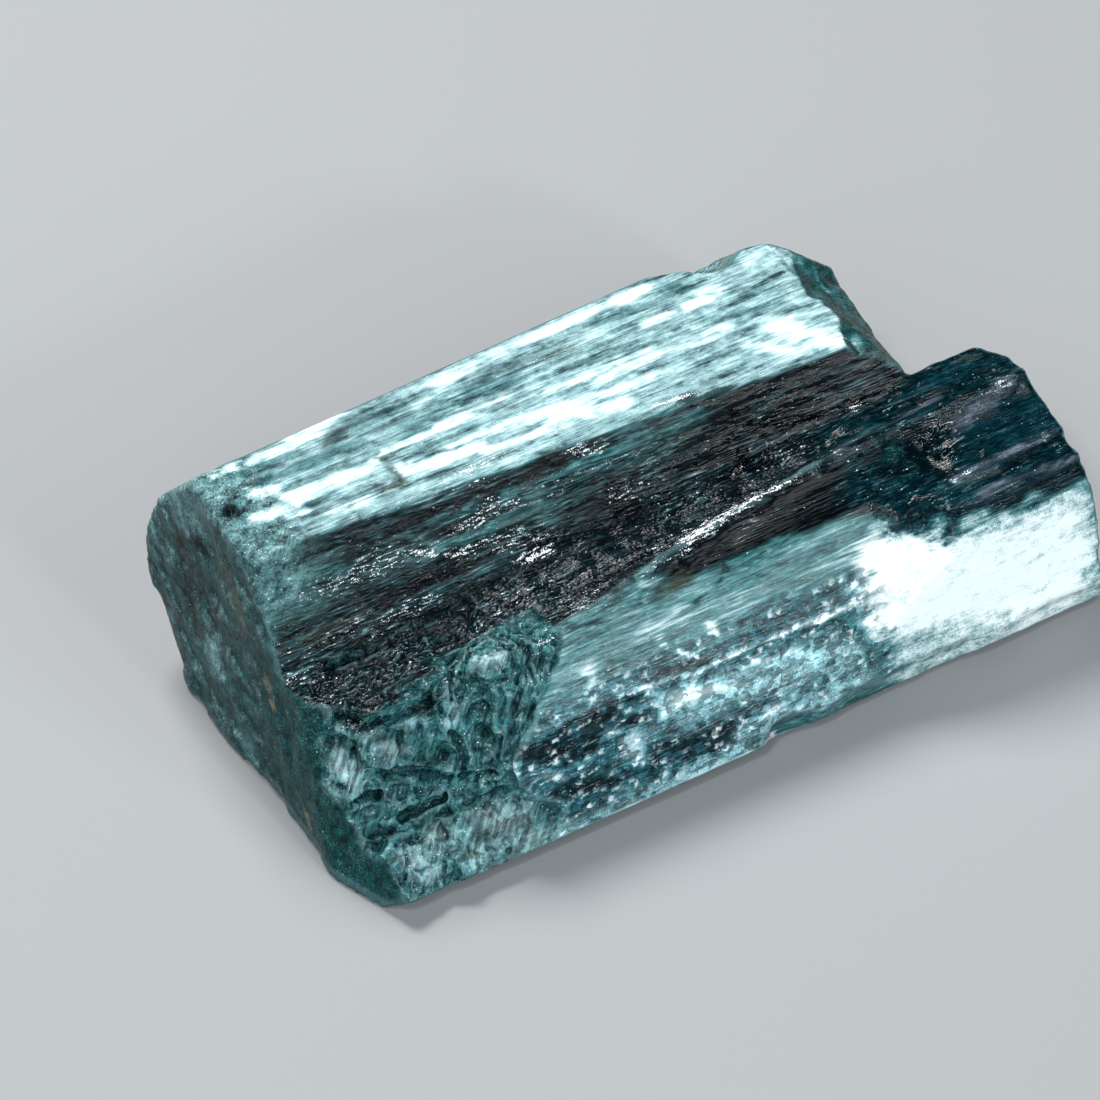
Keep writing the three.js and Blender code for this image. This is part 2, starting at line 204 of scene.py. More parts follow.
# Where each part of the surface lies: numbers from 0 to 1 for every point.
def readZones(p, n):
    s = shapeSettings
    x, y, z = p.T
    lean, upper, lower = (np.array(s[k]) for k in ("backLean", "upperFront", "lowerFront"))
    toLean = (p - s["backEdge"]) @ lean
    toUpper = (p - s["browLine"]) @ upper
    toLower = (p - s["browLine"]) @ lower
    zones = {}
    xr = x + 0.7 * grain(p, (1.6, 0.35, 0.35), 50)
    xf = x + 0.22 * grain(p, (0.9, 0.6, 0.6), 53) + 0.08 * grain(p, (0.3, 0.3, 0.3), 54)
    yr = y + 0.16 * grain(p, (1.1, 0.4, 0.4), 51) + 0.06 * grain(p, (0.35, 0.2, 0.2), 52)
    zr = z + 0.6 * grain(p, (0.7, 0.5, 0.5), 55)
    run = downSlope(y, z)
    left, right = along(s["leftBorder"], run), along(s["rightBorder"], run)
    sloping = ease(run, -0.5, 0.0) * ease(y, -5.9, -6.4) * ease(n[:, 2], -0.5, -0.2)
    offLean = 1 - ease(np.abs(toLean), 0.14, 0.05) * ease(n @ lean, 0.9, 0.97) * ease(run, 3, 2)
    broke = ease(xf, left, left + 0.15) * sloping * ease(-n[:, 0], 0.97, 0.9)
    zones["leftEnd"] = ease(-n[:, 0], 0.4, 0.7) * ease(x, 2.6, 1.6) * (1 - broke)
    zones["rightEnd"] = ease(n[:, 0], 0.3, 0.6) * ease(x, 21.5, 22.5)
    zones["top"] = ease(n[:, 2], 0.88, 0.96) * ease(z, 9.0, 9.3)
    ends = (1 - zones["leftEnd"]) * (1 - zones["rightEnd"])
    zones["shoulder"] = ease(xf, right + 0.1, right - 0.1) * sloping * offLean * ends
    flat = ease(n[:, 2], 0.35, 0.6) * ease(z, 5.0, 5.3)
    zones["ledge"] = zones["shoulder"] * flat * np.maximum(ease(x, 4.9, 4.2), ease(y, -8.9, -8.3))
    zones["shoulder"] = zones["shoulder"] - zones["ledge"]
    sides = ends * (1 - zones["top"])
    zones["lean"] = ease(np.abs(toLean), 0.14, 0.05) * ease(n @ lean, 0.9, 0.97) * sides
    crest, brow = along(s["crest"], x), along(s["brow"], x)
    onFront = ease(xf, right - 0.2, right + 0.1) * sides * (1 - zones["lean"])
    behind = ease(yr, crest - 0.2, crest + 0.1) * ease(z, 5.6, 6.2) * ease(y, -5.6, -6.2) * ease(x, 6, 7)
    before = ease(yr, crest + 0.1, crest - 0.3) * ease(yr, brow - 0.25, brow + 0.1) * ease(z, 5.9, 6.3)
    zones["trough"] = onFront * np.maximum(behind, before * ease(xr, 13.5, 12))
    zones["shelf"] = onFront * before * ease(xr, 12, 13.5)
    onCrest = ease(x, 7.4, 8.4) * ease(z, 6.2, 6.6) * ease(xr, 23, 21)
    zones["crest"] = onFront * np.exp(-((yr - crest) / 0.38) ** 2) * onCrest
    onUpper, onLower = ease(n @ upper, 0.9, 0.96) * onFront, ease(n @ lower, 0.85, 0.95) * ends
    zones["upperFront"] = ease(np.abs(toUpper), 0.22, 0.08) * onUpper * (1 - zones["shelf"])
    zones["lowerFront"] = ease(np.abs(toLower), 0.5, 0.2) * onLower * (1 - zones["shoulder"])
    zones["rightFront"] = ease(xr, 19.8, 21.0) * ends * ease(y, -10.2, -11.0) * ease(zr, 5.9, 5.2)
    zones["rightTop"] = ease(xr, 20.0, 21.5) * ends * ease(zr, 5.5, 6.2) * ease(y, -6.6, -7.2)
    zones["rightTop"] *= 1 - zones["lean"]
    zones["rim"] = ease(x, 3.2, 1.2) * ease(n[:, 2], 0.0, 0.3) * ease(y, -6.0, -5.0)
    return zones


# Pushes the surface in or out along its normals with one of Blender's own textures, stretched by
# an empty and held to a vertex group.
def roughen(thing, group, kind, stretch, strength, level=0.5, centre=(0, 0, 0), **texture):
    pattern = bpy.data.textures.new(kind.lower(), kind)
    for name, value in texture.items():
        setattr(pattern, name, value)
    ruler = bpy.data.objects.new("ruler", None)
    bpy.context.scene.collection.objects.link(ruler)
    ruler.scale, ruler.location = stretch, centre
    bpy.context.view_layer.update()
    applyModifier(
        thing, "DISPLACE", texture=pattern, texture_coords="OBJECT", texture_coords_object=ruler,
        strength=strength, mid_level=level, vertex_group=group,
    )
    bpy.data.objects.remove(ruler)
    bpy.data.textures.remove(pattern)


# The broken shoulder is cut as a fracture leaves it: round gouges and rings, then flat facets.
# A gouge is its radius, its depth and the line it follows; a facet is its middle, reach, facing and depth.
gouges = [
    (0.33, 0.16, [(4.06, -10.02, 6.02), (3.79, -10.59, 5.12), (3.58, -11.06, 4.03)]),
    (0.37, 0.2, [(5.3, -10.5, 5.88), (5.04, -11, 4.9), (4.58, -11.83, 4.04)]),
    (0.15, 0.09, [(6.11, -11.05, 5.84), (5.53, -11.43, 5.12), (4.91, -11.8, 4.31)]),
    (0.15, 0.09, [(6.35, -11.19, 5.74), (5.67, -11.72, 5.11), (5.03, -12.13, 4.36)]),
    (0.15, 0.1, [(6.56, -11.37, 5.59), (5.81, -11.96, 4.96), (5.07, -12.46, 4.24)]),
    (0.15, 0.09, [(6.73, -11.61, 5.33), (6, -12.17, 4.75), (5.29, -12.62, 3.96)]),
    (0.15, 0.08, [(6.81, -11.94, 4.99), (6.17, -12.41, 4.48), (5.6, -12.7, 3.77)]),
    (0.13, 0.09, [
        (4.67, -10.36, 5.41), (4.84, -9.83, 6.16), (5.7, -8.96, 6.15), (6.62, -8.68, 6.2),
        (7.38, -9.13, 6.25), (7.36, -10.43, 6.57), (7.21, -11.19, 5.77),
    ]),
    (0.11, 0.07, [
        (4.97, -10.32, 5.6), (5.14, -9.99, 6.24), (5.82, -9.35, 6.19), (6.49, -9.29, 6.22),
        (6.82, -9.88, 6.43), (6.77, -10.62, 6.37), (6.62, -10.99, 5.91),
    ]),
    (0.11, 0.06, [
        (5.26, -10.43, 5.94), (5.52, -10.14, 6.42), (6.07, -9.88, 6.38),
        (6.3, -10.41, 6.59), (6.36, -10.71, 6.19),
    ]),
    (0.13, 0.07, [
        (4.24, -10.56, 5.18), (4.37, -10.08, 5.91), (5.27, -8.96, 6.14), (6.39, -8.4, 6.17),
        (7.46, -8.47, 6.16), (7.92, -9.69, 6.5), (7.84, -10.81, 6.17),
    ]),
    (0.3, 0.2, [(0.46, -8.44, 5.27), (1.28, -9.61, 5.58), (2.63, -9.96, 5.37), (3.76, -10.18, 5.74)]),
    (0.13, 0.22, [(-0.12, -10.15, 2.6), (0.43, -10.65, 3.05), (1.25, -10.78, 2.97)]),
    (0.17, 0.26, [(1.83, -11.44, 2.31), (2.48, -11.48, 2.39), (3.24, -11.67, 2.79)]),
    (0.22, 0.14, [(0.63, -11.42, 2.1), (1.06, -11.63, 2.22), (1.6, -11.79, 2.21)]),
    (0.22, 0.14, [(1.09, -12.24, 2.06), (1.53, -12.3, 2.08), (2.07, -12.25, 1.98)]),
    (0.13, 0.14, [(1.39, -6.68, 5.65), (2.28, -6.85, 5.71), (3.31, -7.04, 5.78)]),
    (0.13, 0.12, [(1.91, -6.47, 6.07), (2.47, -6.52, 6.06), (3.11, -6.57, 6.05)]),
    (0.11, 0.1, [(1.47, -7.78, 5.7), (2.61, -7.99, 5.77), (3.75, -8.32, 5.94)]),
    (0.11, 0.1, [(3.85, -7.88, 5.94), (4.8, -7.93, 5.97), (5.71, -7.93, 6.12)]),
    (0.11, 0.08, [(2.69, -9.21, 6.03), (3.53, -9.11, 5.99), (4.41, -9.07, 6.06)]),
    (0.15, 0.14, [(1.49, -10.52, 3.64), (2.54, -10.74, 3.46), (3.57, -11.65, 3.24), (4.72, -12.38, 3.47)]),
    (0.15, 0.12, [(0.9, -9.69, 4.74), (0.76, -10.18, 4.03), (0.37, -10.56, 3.35)]),
    (0.15, 0.1, [(2.52, -10.27, 4.87), (2.48, -10.46, 4.23), (2.19, -10.66, 3.68)]),
    (0.19, 0.12, [(3.21, -10.31, 5.02), (3.15, -10.59, 4.33), (2.9, -10.8, 3.66)]),
    (0.15, 0.1, [(4.23, -10.89, 4.51), (4.2, -11.4, 4), (3.83, -11.75, 3.38)]),
    (0.11, 0.08, [(1.34, -12.42, 2.05), (1.26, -12.88, 1.67), (0.95, -13.27, 1.31)]),
    (0.15, 0.1, [(2.94, -12.04, 2.44), (3.92, -12.38, 2.51), (5.02, -12.87, 2.91)]),
]
facets = [
    ((0.43, -9.8, 3.86), 0.75, (-0.45, -0.72, 0.5), 0.12),
    ((1.83, -10.31, 4.65), 0.6, (-0.15, -0.75, 0.65), 0.1),
    ((4.56, -10.42, 5.33), 0.48, (-0.1, -0.93, 0.35), 0.1),
    ((1.7, -12.94, 1.48), 0.48, (-0.25, -0.9, 0.35), 0.06),
    ((2.64, -12.61, 1.85), 0.44, (0, -0.8, 0.6), 0.06),
    ((4.74, -13.33, 1.74), 0.96, (0.05, -0.9, 0.4), 0.06),
    ((1.59, -10.07, 5.44), 0.44, (-0.2, -0.6, 0.77), 0.06),
    ((2.11, -10.8, 3.36), 0.52, (0.1, -0.8, 0.6), 0.08),
    ((4.21, -11.91, 3.61), 0.52, (-0.1, -0.85, 0.5), 0.07),
    ((1.13, -8.52, 5.77), 0.59, (-0.2, -0.5, 0.84), 0.07),
    ((7.49, -11.72, 5.21), 0.52, (0.2, -0.85, 0.5), 0.05),
    ((-0.03, -11.38, 1.33), 0.59, (-0.55, -0.75, 0.35), 0.05),
]
chipSettings = {
    "count": 120, "reach": (0.28, 0.95), "tilt": 0.3, "depth": (0.02, 0.1), "seed": 11,
    "clear": 1.4,  # none is cut nearer to the knob
}


def carveShoulder(thing, weight):
    everyPlace, everyNormal = readPlaces(thing), readNormals(thing)
    inside = np.nonzero(weight > 0.03)[0]
    p, n, share = everyPlace[inside], everyNormal[inside], weight[inside][:, None]
    start = p.copy()

    def nearest(spot):
        return int(np.argmin(((start - np.array(spot)) ** 2).sum(1)))

    def cutFacet(middle, reach, facing, depth):
        facing = np.array(facing) / np.linalg.norm(facing)
        apart = np.linalg.norm(start - middle, axis=1)
        height = np.clip((p - middle) @ facing + depth, 0, 0.22)
        p[:] -= facing * (height * ease(apart, reach * 1.35, reach * 0.95))[:, None]

    knob = np.array(shapeSettings["knob"])
    p += n * (shapeSettings["knobRise"] * np.exp(-(((p - knob) / (1.0, 0.9, 0.9)) ** 2).sum(1)))[:, None]
    run = downSlope(p[:, 1], p[:, 2])
    fromRight = along(shapeSettings["rightBorder"], run) - p[:, 0]
    p -= n * (0.16 * np.exp(-((fromRight - 0.9) / 0.7) ** 2) * ease(run, 4, 4.8) * ease(run, 11, 10))[:, None]
    chance = np.random.default_rng(chipSettings["seed"])
    for _ in range(chipSettings["count"]):
        i = chance.integers(len(p))
        if np.linalg.norm(p[i] - knob) < chipSettings["clear"]:
            continue
        tilt = n[i] + chipSettings["tilt"] * chance.normal(size=3)
        reach = chance.uniform(*chipSettings["reach"])
        cutFacet(p[i].copy(), reach, tilt, chance.uniform(*chipSettings["depth"]))
    for middle, reach, facing, depth in facets:
        cutFacet(p[nearest(middle)].copy(), reach, facing, depth)
    for radius, depth, line in gouges:
        spots = [
            np.array(first) + (np.array(second) - first) * k / 4
            for first, second in zip(line, line[1:]) for k in range(4)
        ]
        spots = start[[nearest(spot) for spot in (*spots, line[-1])]]
        apart = np.full(len(p), 9.0)
        for first, second in zip(spots, spots[1:]):
            way = second - first
            t = np.clip((start - first) @ way / max(way @ way, 1e-6), 0, 1)
            apart = np.minimum(apart, np.linalg.norm(start - first - t[:, None] * way, axis=1))
        lip = 0.3 * np.exp(-((apart - radius * 1.7) / (radius * 0.5)) ** 2)
        p -= n * (depth * (1.5 * ease(apart, radius * 1.4, 0) - lip))[:, None]
    everyPlace[inside] = start + (p - start) * share
    writePlaces(thing, everyPlace)


# The round pit near the top face's left corner, with rings around it.
pitSettings = {
    "middle": (0.72, -2.0, 9.5), "radius": 0.45, "depth": 0.28,
    "ringMiddle": (0.75, -2.35, 9.5), "ringGap": 0.2, "ringHeight": 0.03,
}


def sinkPit(thing):
    p, n = readPlaces(thing), readNormals(thing)
    s = pitSettings
    apart = np.linalg.norm(p - np.array(s["middle"]), axis=1)
    rings = np.linalg.norm(p - np.array(s["ringMiddle"]), axis=1)
    wave = s["ringHeight"] * np.sin(rings * 2 * math.pi / s["ringGap"])
    wave = wave * ease(rings, 0.45, 0.6) * ease(rings, 1.6, 1.0)
    sink = -s["depth"] * ease(apart, s["radius"], s["radius"] * 0.4) + wave * ease(n[:, 2], 0.2, 0.6)
    writePlaces(thing, p + n * sink[:, None])


# Rounds off sharp outer edges: the left end's all the way, the others a little.
def wearEdges(thing):
    p = readPlaces(thing)
    proud = ease(-readHollows(thing, 10), 0.015, 0.06)
    writeGroup(thing, "edges", proud * (0.25 + 0.75 * ease(p[:, 0], 3.0, 1.2)) * ease(p[:, 2], 0.2, 0.6))
    applyModifier(thing, "SMOOTH", factor=0.5, iterations=shapeSettings["edgeRounds"], vertex_group="edges")


# How far each point lies below (over 0) or above (under 0) the points around it, in millimetres.
def readHollows(thing, rounds):
    p, n = readPlaces(thing), readNormals(thing)
    ends = np.zeros(2 * len(thing.data.edges), np.int32)
    thing.data.edges.foreach_get("vertices", ends)
    first, second = ends.reshape(-1, 2).T
    share = np.bincount(first, minlength=len(p)) + np.bincount(second, minlength=len(p))
    mean = p.copy()
    for _ in range(rounds):
        total = np.stack([
            np.bincount(first, mean[second, k], len(p)) + np.bincount(second, mean[first, k], len(p))
            for k in range(3)
        ], 1)
        mean = total / np.maximum(share, 1)[:, None]
    return ((mean - p) * n).sum(1)


# Relief in order: where, its texture, the texture's size along each axis and the relief's height, mm.
pitted = {"level": 0.3, "distance_metric": "DISTANCE"}
reliefs = [
    # growth lines along the c axis
    ("prismFaces", "CLOUDS", (6, 0.5, 0.5), 0.06, {"noise_depth": 2}),
    ("lean", "CLOUDS", (1.8, 0.3, 0.3), 0.16, {"noise_depth": 3}),
    ("broken", "CLOUDS", (1.5, 0.34, 0.34), 0.26, {"noise_depth": 4}),
    ("broken", "VORONOI", (0.9, 0.35, 0.35), 0.1, pitted),
    # frosted breaks
    ("leftEnd", "CLOUDS", (1.1, 1.1, 1.1), 0.16, {"noise_depth": 2}),
    ("leftEnd", "VORONOI", (0.5, 0.5, 0.5), 0.06, pitted),
    ("rightEnd", "CLOUDS", (0.9, 0.9, 0.9), 0.22, {"noise_depth": 4}),
    ("rim", "CLOUDS", (0.8, 0.6, 0.6), 0.12, {"noise_depth": 3}),
]


def shapeCrystal():
    crystal = copyCrystal()
    low, high = readPlaces(crystal).min(0), readPlaces(crystal).max(0)
    applyModifier(crystal, "REMESH", mode="VOXEL", voxel_size=shapeSettings["voxel"], adaptivity=0)
    print("remeshed:", len(crystal.data.polygons), "faces")
    zones = readZones(readPlaces(crystal), readNormals(crystal))
    writeGroup(crystal, "finer", np.maximum(zones["shoulder"], zones["ledge"]) > 0.3)
    bpy.ops.object.mode_set(mode="EDIT")
    bpy.ops.mesh.select_all(action="DESELECT")
    bpy.ops.object.vertex_group_select()
    bpy.ops.mesh.subdivide(number_cuts=1)
    bpy.ops.object.mode_set(mode="OBJECT")
    wearEdges(crystal)
    zones = readZones(readPlaces(crystal), readNormals(crystal))
    under = ease(-readNormals(crystal)[:, 2], 0.8, 0.95) * ease(readPlaces(crystal)[:, 2], 0.3, 0.1)
    for name, weights in zones.items():
        writeGroup(crystal, name, weights)
    unbroken = (1 - zones["shoulder"]) * (1 - zones["leftEnd"]) * (1 - zones["rightEnd"])
    writeGroup(crystal, "prismFaces", unbroken * (1 - under))
    broken = np.maximum(zones["trough"] * 0.7, zones["crest"]) * (1 - 0.5 * zones["rightTop"])
    writeGroup(crystal, "broken", broken)
    apart = np.linalg.norm(readPlaces(crystal) - np.array(shapeSettings["knob"]), axis=1)
    patches = ease(grain(readPlaces(crystal), (1.3, 1.0, 1.0), 60), 0.1, 0.5)
    ripples = np.maximum(ease(apart, 2.6, 1.2), 0.6 * patches)
    writeGroup(crystal, "rippled", zones["shoulder"] * ripples)
    print("zones marked")
    for group, kind, stretch, height, more in reliefs:
        roughen(crystal, group, kind, stretch, height, noise_scale=1, **more)
    sinkPit(crystal)
    carveShoulder(crystal, np.maximum(zones["shoulder"], zones["ledge"]))
    # ripples that spread from the knob, and streaks across the ledge
    roughen(
        crystal, "rippled", "WOOD", (0.7, 0.7, 0.7), 0.03, centre=shapeSettings["knob"],
        wood_type="RINGNOISE", noise_scale=0.9, turbulence=5,
    )
    roughen(crystal, "ledge", "CLOUDS", (1.2, 0.24, 0.24), 0.2, noise_scale=1, noise_depth=3)
    count = sum(len(face.vertices) - 2 for face in crystal.data.polygons)
    print("surface worn:", count, "triangles")
    keep = shapeSettings["triangles"] / count
    if keep < 1:
        applyModifier(crystal, "DECIMATE", ratio=keep)
    print("thinned:", sum(len(face.vertices) - 2 for face in crystal.data.polygons), "triangles")
    inset = shapeSettings["inset"]
    writePlaces(crystal, np.clip(readPlaces(crystal), low + inset, high - inset))
    return crystal


crystal = shapeCrystal()

# ---- the crystal's colours and how clear it is ----

palette = {
    "ice": paint(232, 245, 247),
    "pale": paint(116, 154, 160),
    "haze": paint(64, 100, 102),
    "teal": paint(36, 86, 89),
    "deep": paint(5, 38, 46),
    "smoke": paint(9, 21, 26),
    "black": paint(7, 10, 13),
    "olive": paint(50, 52, 40),
    "frost": paint(8, 64, 64),
    # spark: the colour of painted glints
    "spark": paint(248, 247, 250),
    # lilac: painted glints along the ribs on the dark top at the right
    "lilac": paint(86, 92, 104),
    "mist": paint(84, 138, 146),
    "pearl": paint(112, 139, 142),
    "lagoon": paint(20, 66, 76),
    "bottle": paint(10, 48, 48),
    # sheen: painted highlights on the shoulder's facets, and pale blobs on the front
    "sheen": paint(150, 190, 195),
    "sand": paint(128, 124, 102),
    "tan": paint(84, 88, 72),
}

# For each part of the surface: its colour, how much veils hide the clear crystal, how much of it
# is white or dark or sparkling with painted glints, how far its marks follow the c axis, how frosted it is,
# how many bubbles of light it holds, and how hackly it broke.
measures = ("veil", "white", "dark", "sparkle", "streak", "frosted", "bubbles", "hackle")
finishes = {
    "rest": ("teal", 0.62, 0.35, 0.3, 0.05, 0.8, 0.2, 0, 0),
    "shoulder": ("teal", 0.8, 0.25, 0.2, 0.3, 0, 0.05, 0, 1),
    "ledge": ("smoke", 0.95, -0.05, 0.45, 0.36, 0.9, 0.05, 0, 0.3),
    # the top's pale colour and white share are partly white veils, partly painted light
    "top": ("pearl", 0.9, 0.43, 0.68, 0.1, 0.66, 0.15, 0.1, 0),
    # the lean face's smoke colour and dark share are painted shade
    "lean": ("smoke", 0.98, 0.1, 0.6, 0.7, 1, 0.05, 0, 0),
    "trough": ("smoke", 0.98, -0.1, 0.5, 0.38, 0.9, 0.05, 0, 0.2),
    "crest": ("smoke", 0.9, 0.1, 0.2, 1.2, 0.6, 0.1, 0, 0.3),
    # the shelf's black is painted shade
    "shelf": ("black", 1, -0.1, 0.3, 0.02, 0.9, 0, 0, 0),
    "upperFront": ("haze", 0.85, 0.34, 0.25, 0.02, 0.9, 0.05, 0.15, 0),
    "lowerFront": ("lagoon", 0.9, 0.3, 0.66, 0.1, 0.45, 0.02, 1, 0),
    # the white patch at the front's right is painted light
    "rightFront": ("haze", 0.9, 0.72, 0.15, 0.05, 0.3, 0.1, 0, 0),
    "rightTop": ("deep", 0.95, -0.1, 0.7, 0.15, 0.7, 0.05, 0, 0),
    "leftEnd": ("frost", 0.9, 0.05, 0.4, 0.15, 0, 0.5, 0, 0.2),
    "rightEnd": ("bottle", 0.95, 0.05, 0.35, 0, 0, 0.15, 0, 0.15),
    "rim": ("haze", 0.8, 0.35, 0.45, 0.3, 0.2, 0.3, 0, 0.6),
}

# Single marks: what each is, its two ends, half its width and how strong it is.
# An end given without a height lies on the top face.
topHeight, fullMark = 9.5, 1.25
